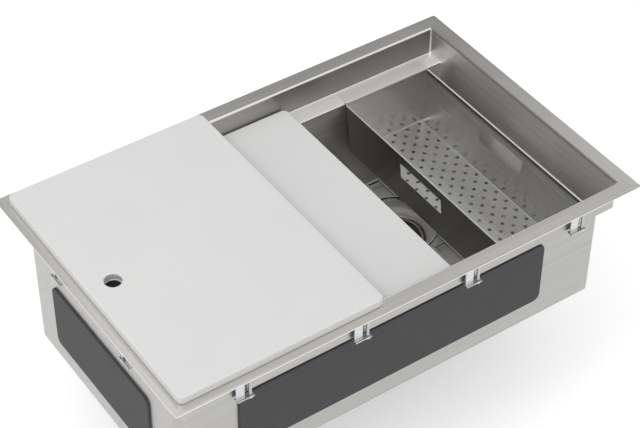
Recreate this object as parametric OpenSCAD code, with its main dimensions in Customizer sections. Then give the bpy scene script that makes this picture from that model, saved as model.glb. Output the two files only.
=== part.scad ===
// Workstation kitchen sink: a folded stainless bowl whose front and back ledges carry a
// perforated colander and a cutting board, with a second board across the rim, a wire grid
// on the floor, a basket strainer in the drain and the clips that hold it in a worktop.
// The origin is the centre of the rim's top plane. +X runs along the sink to the colander,
// +Y to the back and +Z up, so the bowl hangs below zero. Millimetres.

/* [Rim] */
// Overall length of the rim
rim_l = 825.5; // [810:0.5:1000]
// Overall width of the rim, front to back
rim_w = 520.7; // [500:0.1:600]
// Width of the flat flange all round the opening
flange_w = 26.4; // [24:0.1:32]
// Radius of the rim's outer corners
rim_corner_r = 3; // [1:0.5:15]
// Thickness of the stainless sheet
sheet = 1.5; // [1:0.1:2]

/* [Bowl] */
// Outside depth, from the rim's top to the underside of the floor
bowl_depth = 254; // [225:1:300]
// Drop from the rim's top to the ledges
ledge_drop = 50; // [40:0.5:60]
// Width of the front and the back ledge
ledge_w = 33; // [28:0.5:45]
// Depth of the drainage creases in the floor
crease_depth = 0.6; // [0.3:0.1:0.8]
// Width of each crease
crease_w = 5; // [3:0.5:10]
// From the floor's corner to the end of a crease, each way
crease_end_gap = 30; // [15:1:60]

/* [Drain] */
// From the bowl's right wall to the drain's centre
drain_from_right = 181.35; // [150:0.05:240]
// From the bowl's back wall to the drain's centre
drain_from_back = 128.95; // [110:0.05:160]
// Radius of the pressed recess round the drain
recess_r = 69; // [66:0.5:80]
// Width of the recess's sloping edge
recess_slope = 6; // [3:0.5:8]
// Depth of the recess
recess_depth = 4.5; // [3:0.5:8]
// Radius of the drain hole
drain_hole_r = 45; // [42:0.5:48]

/* [Basket strainer] */
// Radius of the strainer's flange
strainer_flange_r = 57; // [54:0.5:59]
// Thickness of the strainer's flange
strainer_flange_t = 2; // [1:0.5:3]
// Slack between the strainer's thread and the drain hole
strainer_fit = 1; // [0.5:0.5:2]
// Depth of the strainer's cup below its flange
cup_h = 50; // [44:1:65]
// Wall of the strainer's cup
cup_wall = 1.5; // [1:0.1:2.5]
// Bevel on the edge of the strainer's flange
strainer_bevel = 1; // [0.5:0.5:1.5]
// Radius of the outlet's thread
outlet_r = 22.5; // [21:0.5:24]
// Wall of the outlet
outlet_wall = 3; // [1.5:0.5:3.4]
// Length of the outlet below the cup
outlet_h = 18; // [14:1:30]
// Width of the bar across the outlet that guides the basket's post
guide_bar_w = 9; // [8:0.5:12]
// Thickness of the rubber gasket under the floor
gasket_t = 4; // [2:0.5:6]
// Outer radius of the gasket and the friction ring
gasket_r = 57; // [52:0.5:60]
// Thickness of the fibre friction ring
friction_ring_t = 1; // [0.5:0.1:2]
// Height of the lock nut
lock_nut_h = 10; // [8:1:14]
// Outer radius of the lock nut without its lugs
lock_nut_r = 52; // [50:0.5:56]
// Lugs round the lock nut
lock_nut_lugs = 8; // [4:1:12]
// Width of each lug
lug_w = 8; // [5:0.5:12]
// How far each lug stands out of the nut
lug_l = 4; // [2:0.5:6]
// Running gap between a thread and its nut
thread_gap = 0.3; // [0.2:0.1:0.5]

/* [Tailpiece] */
// Outer radius of the tailpiece
tailpiece_r = 19.05; // [16:0.05:19.5]
// Length of the tailpiece
tailpiece_l = 101.6; // [80:0.1:150]
// Wall of the tailpiece
tailpiece_wall = 1.2; // [0.8:0.1:2]
// How far the tailpiece's neck is drawn in
neck_draw = 0.2; // [0.1:0.1:0.4]
// How far the neck reaches below the slip nut
neck_reach = 1; // [0.5:0.5:4]
// Thickness of the nylon washer on the tailpiece's flange
tail_washer_t = 2; // [1:0.5:4]
// Thickness of the tailpiece's flange
tail_flange_t = 1.5; // [1:0.1:3]
// Slack between the tailpiece's flange and the slip nut's thread
tail_flange_gap = 0.5; // [0.2:0.1:1]
// Radius across the corners of the slip nut
slip_nut_r = 30; // [28:0.5:36]
// How far the slip nut screws up the outlet
slip_nut_grip = 12; // [8:0.5:13]
// Thickness of the slip nut's lip under the flange
slip_nut_lip = 3; // [2:0.5:5]

/* [Basket] */
// Radius of the basket's rim
basket_r = 41; // [36:0.5:41.5]
// Radius of the basket's bottom
basket_bottom_r = 33; // [31:0.5:35]
// Height of the basket's wall
basket_h = 34; // [28:1:36]
// Thickness of the basket's sheet
basket_wall = 1; // [0.6:0.1:1.2]
// Width of the basket's flat rim
basket_rim_w = 3; // [2:0.5:5]
// Radius of the holes in the basket
basket_hole_r = 1.6; // [1:0.1:2]
// Rings of holes in the basket's bottom
bottom_rings = 3; // [1:1:3]
// Spacing of those rings, and of the holes along the innermost
bottom_hole_pitch = 8; // [6:0.5:9]
// Rows of holes round the basket's wall
wall_rows = 3; // [1:1:3]
// Spacing of those rows
wall_row_pitch = 7; // [5:0.5:8]
// Holes in each row
wall_holes = 18; // [8:1:24]
// Radius of the rubber seal under the basket
seal_r = 30; // [26:0.5:32]
// Thickness of the seal
seal_t = 4; // [3:0.5:6]
// Radius of the basket's post
post_r = 3; // [2:0.1:3.5]
// Slack between the post and its guide
post_fit = 0.3; // [0.2:0.1:0.5]
// Height of the post above the basket's bottom
post_h = 30; // [20:1:34]
// Length of the post's tip below the seal
post_tip_l = 8; // [5:1:12]
// Width and height of the collar on the post
collar = 3; // [2:0.5:5]
// Radius of the basket's knob
knob_r = 13; // [9:0.5:16]
// Height of the knob's cone, under its rim
knob_cone_h = 3; // [2:0.5:5]
// Height of the knob's rim
knob_t = 3; // [2:0.5:5]
// Bevel on the knob's top
knob_bevel = 2; // [1:0.5:3]

/* [Bottom grid] */
// Height of the grid's wires above the floor, to their centre
grid_lift = 20; // [16:0.5:26]
// Gap between the grid's frame and the walls, to the wire's centre
grid_gap = 18; // [14:0.5:30]
// Thickness of the frame's wire
frame_wire_d = 6; // [5:0.5:8]
// Radius of the frame's corners, to the wire's centre
frame_corner_r = 28; // [20:1:45]
// Thickness of the grid's inner wires
grid_wire_d = 4; // [3:0.5:5]
// Spacing of the wires that run front to back
grid_pitch = 25; // [20:1:40]
// Spacing of the wires that run along the sink
cross_pitch = 120; // [80:1:150]
// Radius of the ring round the drain, to the wire's centre
ring_r = 69; // [60:0.5:72]
// Thickness of the ring's wire
ring_wire_d = 5; // [4:0.5:6]
// How deep welded wires sink into each other
weld_sink = 0.5; // [0.2:0.1:1]
// Radius of the steel pegs inside the feet
peg_r = 2.5; // [2:0.5:3]
// How far the pegs reach into the feet
peg_depth = 11; // [6:1:14]
// Radius of the rubber feet
foot_r = 7; // [6:0.5:10]
// Distance of the end feet from the grid's corners, along the frame
foot_inset = 45; // [40:1:90]
// Radius of the rubber bumpers on the frame
bumper_r = 6; // [5:0.5:8]
// Gap between a bumper's ends and the wires beside it
bumper_gap = 1; // [0.5:0.5:3]
// Wire spaces between the middle of a long side and its bumpers
bumper_space = 4; // [2:1:6]

/* [Colander] */
// Gap between the colander and the bowl's right wall
colander_from_right = 29.85; // [20:0.05:45]
// Width of the colander at its top
colander_w = 168.5; // [120:0.5:180]
// Depth of the colander below the ledges
colander_depth = 104.5; // [70:0.5:120]
// How far each long wall leans in towards the floor
colander_lean = 10; // [4:0.1:14]
// How far each end wall leans in towards the floor
colander_end_lean = 2; // [0.5:0.1:6]
// Gap between each end wall and the bowl's lower wall
colander_fit = 1.5; // [1:0.1:4]
// Thickness of the colander's sheet
colander_sheet = 1; // [0.8:0.1:1.5]
// How far each lip reaches over its ledge
lip_l = 24; // [15:0.5:26]
// Radius of the lips' corners
lip_corner_r = 8; // [2:0.5:12]
// Height of the folded hem inside the long walls
hem_h = 19; // [10:0.5:22]
// Length of the handle slots
slot_l = 106; // [80:1:130]
// Height of the handle slots
slot_h = 30; // [18:0.5:34]
// From the ledges down to the middle of the slots
slot_drop = 34; // [30:0.5:42]
// From the middle of the sink to the middle of the slots, towards the front
slot_forward = 3.5; // [0:0.5:10]
// Radius of the drain holes in the floor
colander_hole_r = 3.2; // [1.5:0.1:4]
// Spacing of the staggered holes, row to row
colander_pitch = 13; // [10:0.1:20]
// Least plain margin round the holes
colander_margin = 4; // [3:0.5:20]

/* [Boards] */
// Thickness of both cutting boards
board_t = 15; // [10:0.5:20]
// Length of the upper board along the sink
upper_board_l = 341; // [250:1:360]
// From the front and back edges of the rim to the upper board
upper_board_margin = 13.85; // [10:0.05:18]
// From the left end of the rim to the upper board
upper_board_inset = 14.75; // [0:0.25:40]
// Radius of the finger hole
finger_hole_r = 13.5; // [10:0.5:18]
// From the board's left end to the finger hole's centre
finger_hole_inset = 40; // [30:1:60]
// Gap between the bowl's left wall and the lower board
lower_board_from_left = 46.85; // [46:0.05:120]
// Open way between the lower board and the colander
way_in = 95.5; // [60:0.5:120]
// Gap between the lower board and the bowl, at the front and the back
board_fit = 2.5; // [1:0.5:4]
// Radius of the boards' corners
board_corner_r = 10; // [5:0.5:20]
// Radius of the boards' rounded edges
board_edge_r = 3; // [1:0.5:4]

/* [Sound pads] */
// Thickness of the sound pads
pad_t = 4; // [2:0.5:6]
// Length of the front and back pads
long_pad_l = 560; // [300:5:680]
// Length of the end pads
end_pad_l = 280; // [200:5:340]
// Height of the pads on the walls
wall_pad_h = 120; // [80:1:140]
// Gap between the floor pads and the walls or the recess
pad_margin = 20; // [12:1:40]
// Gap between the two floor pads
pad_gap = 5; // [2:1:10]
// Radius of the pads' corners
pad_corner_r = 12; // [4:1:20]

/* [Rim clips] */
// Width of the channels under the flange
rail_w = 11; // [10:0.5:12]
// Height of the channels
rail_h = 8; // [7:0.5:10]
// Thickness of the channels
rail_t = 1.2; // [1:0.1:1.5]
// Gap between the channels and the bowl's outside
rail_gap = 1; // [0.5:0.5:2]
// Width of each channel's inward lips
rail_lip = 2.5; // [2:0.1:2.8]
// Length of the front and back channels
long_rail_l = 700; // [500:10:740]
// Length of the end channels
end_rail_l = 400; // [300:10:430]
// Spacing of the clips along the front and the back
long_clip_pitch = 200; // [150:5:220]
// Spacing of the clips along the ends
end_clip_pitch = 200; // [150:5:280]
// Length of each clip's head in its channel
clip_l = 14; // [10:1:18]
// Thickness of the clips
clip_t = 2; // [1.5:0.1:2.4]
// Slack on each side of a clip's head in its channel
clip_fit = 0.3; // [0.2:0.1:0.6]
// How far the clips hang below their channel
clip_drop = 40; // [30:1:60]
// Length of the clips' toes, which lie along the channel
toe_l = 28; // [26:1:40]
// Width of the clips' toes
toe_w = 10; // [9:0.5:11]
// Radius of the clip screws
screw_r = 2.5; // [2:0.1:3]
// Slack round each screw in its clip
screw_fit = 0.1; // [0.05:0.05:0.5]
// Length of the clip screws under their heads
screw_l = 38; // [25:1:45]
// Radius of the screws' heads
screw_head_r = 4.5; // [4:0.5:5]
// Height of the screws' heads
screw_head_h = 3; // [2:0.5:4]
// Width of the slot in each head
screw_slot_w = 1.2; // [0.8:0.1:1.6]
// Depth of that slot
screw_slot_h = 1.2; // [0.8:0.1:1.6]

/* [Hidden] */
// How far a cut runs past what it cuts
past = 1;
// How far two shapes of one piece run into each other
join = 0.5;
// Slack of what is pressed together
press_gap = 0.1;
inner_l = rim_l - 2 * flange_w;
inner_w = rim_w - 2 * flange_w;
lower_w = inner_w - 2 * ledge_w;
drain_x = inner_l / 2 - drain_from_right;
drain_y = lower_w / 2 - drain_from_back;
floor_z = sheet - bowl_depth;
floor_under_z = -bowl_depth;
recess_flat_r = recess_r - recess_slope;
recess_z = floor_z - recess_depth;
recess_under_z = recess_z - sheet;
strainer_r = drain_hole_r - strainer_fit;
cup_floor_z = recess_z - cup_h + cup_wall;
outlet_z = recess_z - cup_h - outlet_h;
outlet_bore_r = outlet_r - outlet_wall;
gasket_z = recess_under_z - gasket_t;
friction_ring_z = gasket_z - friction_ring_t;
lock_nut_z = friction_ring_z - lock_nut_h;
tail_washer_z = outlet_z - tail_washer_t;
tail_flange_z = tail_washer_z - tail_flange_t;
tail_flange_r = outlet_r - tail_flange_gap;
slip_nut_z = tail_flange_z - slip_nut_lip;
basket_z = cup_floor_z + seal_t;
grid_z = floor_z + grid_lift;
grid_half_l = inner_l / 2 - grid_gap;
grid_half_w = lower_w / 2 - grid_gap;
cross_z = grid_z - grid_wire_d + weld_sink;
ring_z = grid_z + (grid_wire_d + ring_wire_d) / 2 - weld_sink;
bumper_l = grid_pitch - grid_wire_d - 2 * bumper_gap;
foot_h = grid_lift - frame_wire_d / 2;
ledge_z = -ledge_drop;
colander_half_w = colander_w / 2;
colander_x = inner_l / 2 - colander_from_right - colander_half_w;
colander_half_l = lower_w / 2 - colander_fit;
colander_floor_half_w = colander_half_w - colander_lean;
colander_floor_half_l = colander_half_l - colander_end_lean;
lip_top_z = ledge_z + colander_sheet;
colander_floor_z = ledge_z - colander_depth;
upper_board_x = (upper_board_l - rim_l) / 2 + upper_board_inset;
upper_board_w = rim_w - 2 * upper_board_margin;
lower_board_l = colander_x - colander_half_w - way_in + inner_l / 2 - lower_board_from_left;
lower_board_x = colander_x - colander_half_w - way_in - lower_board_l / 2;
lower_board_w = inner_w - 2 * board_fit;
rail_y = inner_w / 2 + sheet + rail_gap + rail_w / 2;
rail_x = inner_l / 2 + sheet + rail_gap + rail_w / 2;
clip_rest_z = -sheet - rail_h + rail_t;
toe_z = -sheet - rail_h - clip_drop;
screw_reach = toe_l - clip_l / 2 - screw_head_r;
floor_pad_split = drain_x - recess_r - sheet - pad_margin;
steel = [0.72, 0.71, 0.69];
bright_steel = [0.80, 0.80, 0.80];
board_white = [0.88, 0.88, 0.87];
pad_grey = [0.25, 0.25, 0.26];
rubber_black = [0.10, 0.10, 0.10];
fibre_tan = [0.60, 0.50, 0.35];
nylon_white = [0.85, 0.85, 0.80];
$fn = 48;

// A flat rectangle with round corners, centred on the origin.
module rounded_rect(l, w, r) {
    square([l - 2 * r, w], center = true);
    square([l, w - 2 * r], center = true);
    for (x = [-1, 1], y = [-1, 1])
        translate([x * (l / 2 - r), y * (w / 2 - r)]) circle(r);
}

// A box centred on the Z axis between two heights.
module level_box(l, w, z_low, z_high)
    translate([-l / 2, -w / 2, z_low]) cube([l, w, z_high - z_low]);

// Its children, moved to the drain's axis at height z.
module at_drain(z) translate([drain_x, drain_y, z]) children();

// A flat ring round the drain's axis, from height z upwards.
module drain_ring(z, r_out, r_in, h) at_drain(z) difference() {
    cylinder(r = r_out, h = h);
    translate([0, 0, -past]) cylinder(r = r_in, h = h + 2 * past);
}

// A shallow V along the floor, from the drain's recess towards one corner of the bowl.
module crease(x_side, y_side) {
    end_x = x_side * (inner_l / 2 - crease_end_gap) - drain_x;
    end_y = y_side * (lower_w / 2 - crease_end_gap) - drain_y;
    at_drain(floor_z) rotate(atan2(end_y, end_x)) translate([recess_r, 0, 0])
        rotate([90, 0, 90]) linear_extrude(norm([end_x, end_y]) - recess_r)
            polygon([[-crease_w / 2, past], [-crease_w / 2, 0], [0, -crease_depth],
                     [crease_w / 2, 0], [crease_w / 2, past]]);
}

// The folded and welded shell: flange, upper walls, ledges, lower walls and drained floor.
module sink_bowl() color(steel) difference() {
    union() {
        translate([0, 0, -sheet]) linear_extrude(sheet) rounded_rect(rim_l, rim_w, rim_corner_r);
        level_box(inner_l + 2 * sheet, inner_w + 2 * sheet, ledge_z - sheet, -sheet / 2);
        level_box(inner_l + 2 * sheet, lower_w + 2 * sheet, floor_under_z, -sheet / 2);
        at_drain(recess_under_z)
            cylinder(r1 = recess_flat_r + sheet, r2 = recess_r + sheet, h = recess_depth + sheet / 2);
    }
    level_box(inner_l, inner_w, ledge_z, past);
    level_box(inner_l, lower_w, floor_z, past);
    at_drain(recess_z) cylinder(r1 = recess_flat_r, r2 = recess_r, h = recess_depth);
    at_drain(recess_under_z - past)
        cylinder(r = drain_hole_r, h = recess_depth + sheet + 2 * past);
    for (x_side = [-1, 1], y_side = [-1, 1]) crease(x_side, y_side);
}

// A pad on the outside of the lower front wall (side -1) or back wall (side 1).
module long_wall_pad(side) color(pad_grey)
    translate([0, side * (lower_w / 2 + sheet + pad_t / 2), (ledge_z + floor_under_z) / 2])
        rotate([90, 0, 0]) linear_extrude(pad_t, center = true)
            rounded_rect(long_pad_l, wall_pad_h, pad_corner_r);

// A pad on the outside of the left wall (side -1) or right wall (side 1).
module end_wall_pad(side) color(pad_grey)
    translate([side * (inner_l / 2 + sheet + pad_t / 2), 0, (ledge_z + floor_under_z) / 2])
        rotate([90, 0, 90]) linear_extrude(pad_t, center = true)
            rounded_rect(end_pad_l, wall_pad_h, pad_corner_r);

// A pad under the floor between two corners given as [x, y].
module floor_pad(low, high) color(pad_grey)
    translate([(low.x + high.x) / 2, (low.y + high.y) / 2, floor_under_z - pad_t])
        linear_extrude(pad_t) rounded_rect(high.x - low.x, high.y - low.y, pad_corner_r);

module sound_pad_front() long_wall_pad(-1);
module sound_pad_back() long_wall_pad(1);
module sound_pad_left() end_wall_pad(-1);
module sound_pad_right() end_wall_pad(1);
module sound_pad_floor_left()
    floor_pad([-inner_l / 2 + pad_margin, -lower_w / 2 + pad_margin],
              [floor_pad_split, lower_w / 2 - pad_margin]);
module sound_pad_floor_right()
    floor_pad([floor_pad_split + pad_gap, -lower_w / 2 + pad_margin],
              [inner_l / 2 - pad_margin, drain_y - recess_r - sheet - pad_margin]);

// The channel's section: a box open downwards between two inward lips.
module rail_section() difference() {
    translate([-rail_w / 2, 0]) square([rail_w, rail_h]);
    translate([rail_t - rail_w / 2, rail_t]) square([rail_w - 2 * rail_t, rail_h - 2 * rail_t]);
    translate([rail_t + rail_lip - rail_w / 2, -past])
        square([rail_w - 2 * (rail_t + rail_lip), rail_t + 2 * past]);
}

// A channel of length l along X under the flange.
module rail(l) translate([-l / 2, 0, -sheet - rail_h])
    rotate([90, 0, 90]) linear_extrude(l) rail_section();

module clip_rails() color(steel) {
    for (side = [-1, 1]) {
        translate([0, side * rail_y, 0]) rail(long_rail_l);
        translate([side * rail_x, 0, 0]) rotate(90) rail(end_rail_l);
    }
}

// Its children at every clip: spread along the four channels and turned to follow them.
module at_clips() {
    long_count = floor((long_rail_l - 2 * toe_l) / long_clip_pitch);
    end_count = floor((end_rail_l - 2 * toe_l) / end_clip_pitch);
    for (side = [-1, 1]) {
        for (i = [0:long_count])
            translate([(i - long_count / 2) * long_clip_pitch, side * rail_y, 0]) children();
        for (i = [0:end_count])
            translate([side * rail_x, (i - end_count / 2) * end_clip_pitch, 0])
                rotate(90) children();
    }
}

// One clip: a head on the channel's lips, a stem between them and a toe with a screw hole.
module clip() {
    head_w = rail_w - 2 * rail_t - 2 * clip_fit;
    translate([-clip_l / 2, -head_w / 2, clip_rest_z]) cube([clip_l, head_w, clip_t]);
    translate([-clip_l / 2, -clip_t / 2, toe_z - join])
        cube([clip_l, clip_t, clip_rest_z - toe_z + 2 * join]);
    difference() {
        translate([-clip_l / 2, -toe_w / 2, toe_z - clip_t]) cube([toe_l, toe_w, clip_t]);
        translate([screw_reach, 0, toe_z - clip_t - past])
            cylinder(r = screw_r + screw_fit, h = clip_t + 2 * past);
    }
}

// One screw: a shank up through the toe and a slotted head under it.
module clip_screw() translate([screw_reach, 0, toe_z - clip_t]) {
    cylinder(r = screw_r, h = screw_l);
    difference() {
        translate([0, 0, -screw_head_h]) cylinder(r = screw_head_r, h = screw_head_h);
        translate([-screw_head_r - past, -screw_slot_w / 2, -screw_head_h - past])
            cube([2 * (screw_head_r + past), screw_slot_w, screw_slot_h + past]);
    }
}

module rim_clips() color(bright_steel) at_clips() clip();
module clip_screws() color(bright_steel) at_clips() clip_screw();

// The strainer: flange in the recess, threaded cup, threaded outlet and the post's guide bar.
module strainer_body() color(bright_steel) {
    at_drain(recess_z) difference() {
        union() {
            cylinder(r1 = strainer_flange_r, r2 = strainer_flange_r - strainer_bevel,
                     h = strainer_flange_t);
            translate([0, 0, -cup_h]) cylinder(r = strainer_r, h = cup_h + join);
            translate([0, 0, -cup_h - outlet_h]) cylinder(r = outlet_r, h = outlet_h + join);
        }
        translate([0, 0, cup_wall - cup_h])
            cylinder(r = strainer_r - cup_wall, h = cup_h + strainer_flange_t);
        translate([0, 0, -cup_h - outlet_h - past])
            cylinder(r = outlet_bore_r, h = outlet_h + cup_wall + 2 * past);
    }
    at_drain(cup_floor_z - cup_wall) difference() {
        translate([-outlet_bore_r - join, -guide_bar_w / 2, 0])
            cube([2 * (outlet_bore_r + join), guide_bar_w, cup_wall]);
        translate([0, 0, -past]) cylinder(r = post_r + post_fit, h = cup_wall + 2 * past);
    }
}

module strainer_gasket() color(rubber_black)
    drain_ring(gasket_z, gasket_r, strainer_r + thread_gap, gasket_t);

module friction_ring() color(fibre_tan)
    drain_ring(friction_ring_z, gasket_r, strainer_r + thread_gap, friction_ring_t);

module lock_nut() color(bright_steel) at_drain(lock_nut_z) difference() {
    linear_extrude(lock_nut_h) {
        circle(lock_nut_r);
        for (i = [0:lock_nut_lugs - 1])
            rotate(i * 360 / lock_nut_lugs) translate([0, -lug_w / 2])
                square([lock_nut_r + lug_l, lug_w]);
    }
    translate([0, 0, -past]) cylinder(r = strainer_r + thread_gap, h = lock_nut_h + 2 * past);
}

module tail_washer() color(nylon_white)
    drain_ring(tail_washer_z, tail_flange_r, outlet_bore_r, tail_washer_t);

module tailpiece() color(bright_steel) at_drain(tail_flange_z) difference() {
    union() {
        cylinder(r = tail_flange_r, h = tail_flange_t);
        translate([0, 0, -slip_nut_lip - neck_reach])
            cylinder(r = tailpiece_r - neck_draw, h = slip_nut_lip + neck_reach + tail_flange_t);
        translate([0, 0, tail_flange_t - tailpiece_l])
            cylinder(r = tailpiece_r, h = tailpiece_l - tail_flange_t - slip_nut_lip - neck_reach);
    }
    translate([0, 0, -tailpiece_l])
        cylinder(r = tailpiece_r - tailpiece_wall, h = tailpiece_l + tail_flange_t + past);
}

module slip_nut() color(bright_steel) at_drain(slip_nut_z) {
    nut_top = outlet_z + slip_nut_grip - slip_nut_z;
    difference() {
        cylinder(r = slip_nut_r, h = nut_top, $fn = 8);
        translate([0, 0, slip_nut_lip]) cylinder(r = outlet_r + thread_gap, h = nut_top);
        translate([0, 0, -past])
            cylinder(r = tailpiece_r + thread_gap, h = slip_nut_lip + 2 * past);
    }
}

// Half the section of the basket's cup: bottom, flared wall and flat rim.
module basket_section() polygon([
    [0, 0], [basket_bottom_r, 0],
    [basket_r - basket_rim_w, basket_h - basket_wall], [basket_r, basket_h - basket_wall],
    [basket_r, basket_h], [basket_r - basket_rim_w - basket_wall, basket_h],
    [basket_bottom_r - basket_wall, basket_wall], [0, basket_wall]
]);

module basket_cup() color(bright_steel) at_drain(basket_z) difference() {
    rotate_extrude() basket_section();
    translate([0, 0, -past]) cylinder(r = post_r + press_gap, h = basket_wall + 2 * past);
    for (ring = [1:bottom_rings], i = [0:6 * ring - 1])
        rotate(i * 60 / ring) translate([ring * bottom_hole_pitch, 0, -past])
            cylinder(r = basket_hole_r, h = basket_wall + 2 * past, $fn = 16);
    for (row = [1:wall_rows], i = [0:wall_holes - 1])
        rotate((i + (row % 2) / 2) * 360 / wall_holes)
            translate([basket_bottom_r - basket_wall - past, 0, row * wall_row_pitch])
                rotate([0, 90, 0])
                    cylinder(r = basket_hole_r, h = basket_r - basket_bottom_r + past, $fn = 16);
}

// The post, from its tip below the guide bar up to the knob, with a collar on the basket.
module basket_post() color(bright_steel) at_drain(basket_z) {
    translate([0, 0, -seal_t - post_tip_l]) cylinder(r = post_r, h = seal_t + post_tip_l + post_h);
    translate([0, 0, basket_wall]) cylinder(r = post_r + collar, h = collar);
}

module basket_knob() color(bright_steel) at_drain(basket_z + post_h) {
    cylinder(r1 = post_r, r2 = knob_r, h = knob_cone_h);
    translate([0, 0, knob_cone_h]) cylinder(r = knob_r, h = knob_t);
    translate([0, 0, knob_cone_h + knob_t])
        cylinder(r1 = knob_r, r2 = knob_r - knob_bevel, h = knob_bevel);
}

module basket_seal() color(rubber_black)
    drain_ring(cup_floor_z, seal_r, post_r + press_gap, seal_t);

// A straight wire between two points.
module wire(from, to, d) {
    run = to - from;
    translate(from) rotate([0, acos(run.z / norm(run)), atan2(run.y, run.x)])
        cylinder(d = d, h = norm(run), $fn = 24);
}

// The grid's outer loop: four straight wires joined by quarter bends.
module grid_frame() color(bright_steel) {
    straight_l = grid_half_l - frame_corner_r;
    straight_w = grid_half_w - frame_corner_r;
    for (side = [-1, 1]) {
        wire([-straight_l, side * grid_half_w, grid_z], [straight_l, side * grid_half_w, grid_z],
             frame_wire_d);
        wire([side * grid_half_l, -straight_w, grid_z], [side * grid_half_l, straight_w, grid_z],
             frame_wire_d);
    }
    for (turn = [0:3]) {
        x_side = (turn == 0 || turn == 3) ? 1 : -1;
        y_side = turn < 2 ? 1 : -1;
        translate([x_side * straight_l, y_side * straight_w, grid_z]) rotate(turn * 90)
            rotate_extrude(angle = 90) translate([frame_corner_r, 0]) circle(d = frame_wire_d, $fn = 24);
    }
}

// The wires that run front to back, open round the drain.
module grid_wires() color(bright_steel) difference() {
    count = floor((grid_half_l - frame_corner_r / 2) / grid_pitch);
    for (i = [-count:count])
        let (past_bend = max(0, abs(i * grid_pitch) - grid_half_l + frame_corner_r),
             reach = grid_half_w - frame_corner_r + sqrt(pow(frame_corner_r, 2) - pow(past_bend, 2)))
            wire([i * grid_pitch, -reach, grid_z], [i * grid_pitch, reach, grid_z], grid_wire_d);
    at_drain(grid_z - grid_wire_d) cylinder(r = ring_r, h = 2 * grid_wire_d);
}

// The wires along the sink, welded under the others and open round the drain.
module grid_cross_wires() color(bright_steel) difference() {
    count = floor((grid_half_w - frame_corner_r) / cross_pitch);
    for (i = [-count:count])
        wire([-grid_half_l, i * cross_pitch, cross_z], [grid_half_l, i * cross_pitch, cross_z],
             grid_wire_d);
    at_drain(cross_z - grid_wire_d) cylinder(r = ring_r, h = 2 * grid_wire_d);
}

// The ring round the drain, welded on top of the wires' ends.
module grid_drain_ring() color(bright_steel) at_drain(ring_z)
    rotate_extrude() translate([ring_r, 0]) circle(d = ring_wire_d, $fn = 24);

// Its children at the six feet: near the ends and at the middle of the long sides.
module at_feet() for (side = [-1, 1], x = [-1, 0, 1])
    translate([x * (grid_half_l - foot_inset), side * grid_half_w, floor_z]) children();

module grid_pegs() color(bright_steel) at_feet()
    translate([0, 0, foot_h - peg_depth]) cylinder(r = peg_r, h = grid_lift - foot_h + peg_depth);

module grid_feet() color(rubber_black) at_feet() difference() {
    cylinder(r = foot_r, h = foot_h);
    translate([0, 0, foot_h - peg_depth]) cylinder(r = peg_r, h = peg_depth + past);
}

// Rubber sleeves on the frame, which keep the steel off the walls.
module grid_bumpers() color(rubber_black) for (side = [-1, 1], end = [-1, 1]) {
    translate([end * (bumper_space + 0.5) * grid_pitch, side * grid_half_w, grid_z])
        rotate([0, 90, 0]) sleeve();
    translate([side * grid_half_l, end * cross_pitch / 2, grid_z]) rotate([90, 0, 0]) sleeve();
}

module sleeve() difference() {
    cylinder(r = bumper_r, h = bumper_l, center = true);
    cylinder(d = frame_wire_d, h = bumper_l + 2 * past, center = true);
}

// A solid with sloping sides: wide at the top, narrower by its lean at the bottom.
module leaning_block(half_w, half_l, lean, end_lean, z_low, z_high, depth) {
    low_w = half_w - lean * (lip_top_z - z_low) / depth;
    low_l = half_l - end_lean * (lip_top_z - z_low) / depth;
    high_w = half_w - lean * (lip_top_z - z_high) / depth;
    high_l = half_l - end_lean * (lip_top_z - z_high) / depth;
    intersection() {
        rotate([90, 0, 0]) linear_extrude(2 * (half_l + past), center = true)
            polygon([[-low_w, z_low], [low_w, z_low], [high_w, z_high], [-high_w, z_high]]);
        rotate([90, 0, 90]) linear_extrude(2 * (half_w + past), center = true)
            polygon([[-low_l, z_low], [low_l, z_low], [high_l, z_high], [-high_l, z_high]]);
    }
}

// The colander's walls, drawn in by t on every side, between two heights.
module colander_block(t, z_low, z_high)
    leaning_block(colander_half_w - t, colander_half_l - t, colander_lean, colander_end_lean,
                  z_low, z_high, colander_depth + colander_sheet);

// The staggered holes: every other place of a square pattern.
module colander_holes() {
    columns = floor((colander_floor_half_w - colander_margin - colander_hole_r) / colander_pitch);
    rows = floor((colander_floor_half_l - colander_margin - colander_hole_r) / colander_pitch + 0.5);
    for (i = [-columns:columns], j = [-rows:rows - 1])
        if ((i + j) % 2 != 0)
            translate([i * colander_pitch, (j + 0.5) * colander_pitch]) circle(colander_hole_r, $fn = 16);
}

// The folded edge inside both long walls, a second sheet thick.
module hem() difference() {
    level_box(colander_w, 2 * colander_half_l, lip_top_z - hem_h, lip_top_z);
    leaning_block(colander_half_w - 2 * colander_sheet, colander_half_l + past, colander_lean, 0,
                  colander_floor_z, lip_top_z + past, colander_depth + colander_sheet);
}

// The tray: a perforated floor, leaning walls with handle slots and a hem, and two lips.
module colander() color(steel) translate([colander_x, 0, 0]) {
    wall = colander_sheet;
    difference() {
        colander_block(0, colander_floor_z, lip_top_z);
        difference() {
            colander_block(wall, colander_floor_z - past, lip_top_z + past);
            hem();
        }
        translate([-colander_w, -slot_forward - slot_l / 2, ledge_z - slot_drop - slot_h / 2])
            cube([2 * colander_w, slot_l, slot_h]);
    }
    translate([0, 0, colander_floor_z]) linear_extrude(wall) difference() {
        square([2 * colander_floor_half_w, 2 * colander_floor_half_l], center = true);
        colander_holes();
    }
    difference() {
        translate([0, 0, ledge_z]) linear_extrude(wall)
            rounded_rect(colander_w, 2 * (colander_half_l + lip_l), lip_corner_r);
        level_box(colander_w - 2 * wall, 2 * (colander_half_l - wall), ledge_z - past,
                  lip_top_z + past);
    }
}

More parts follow.
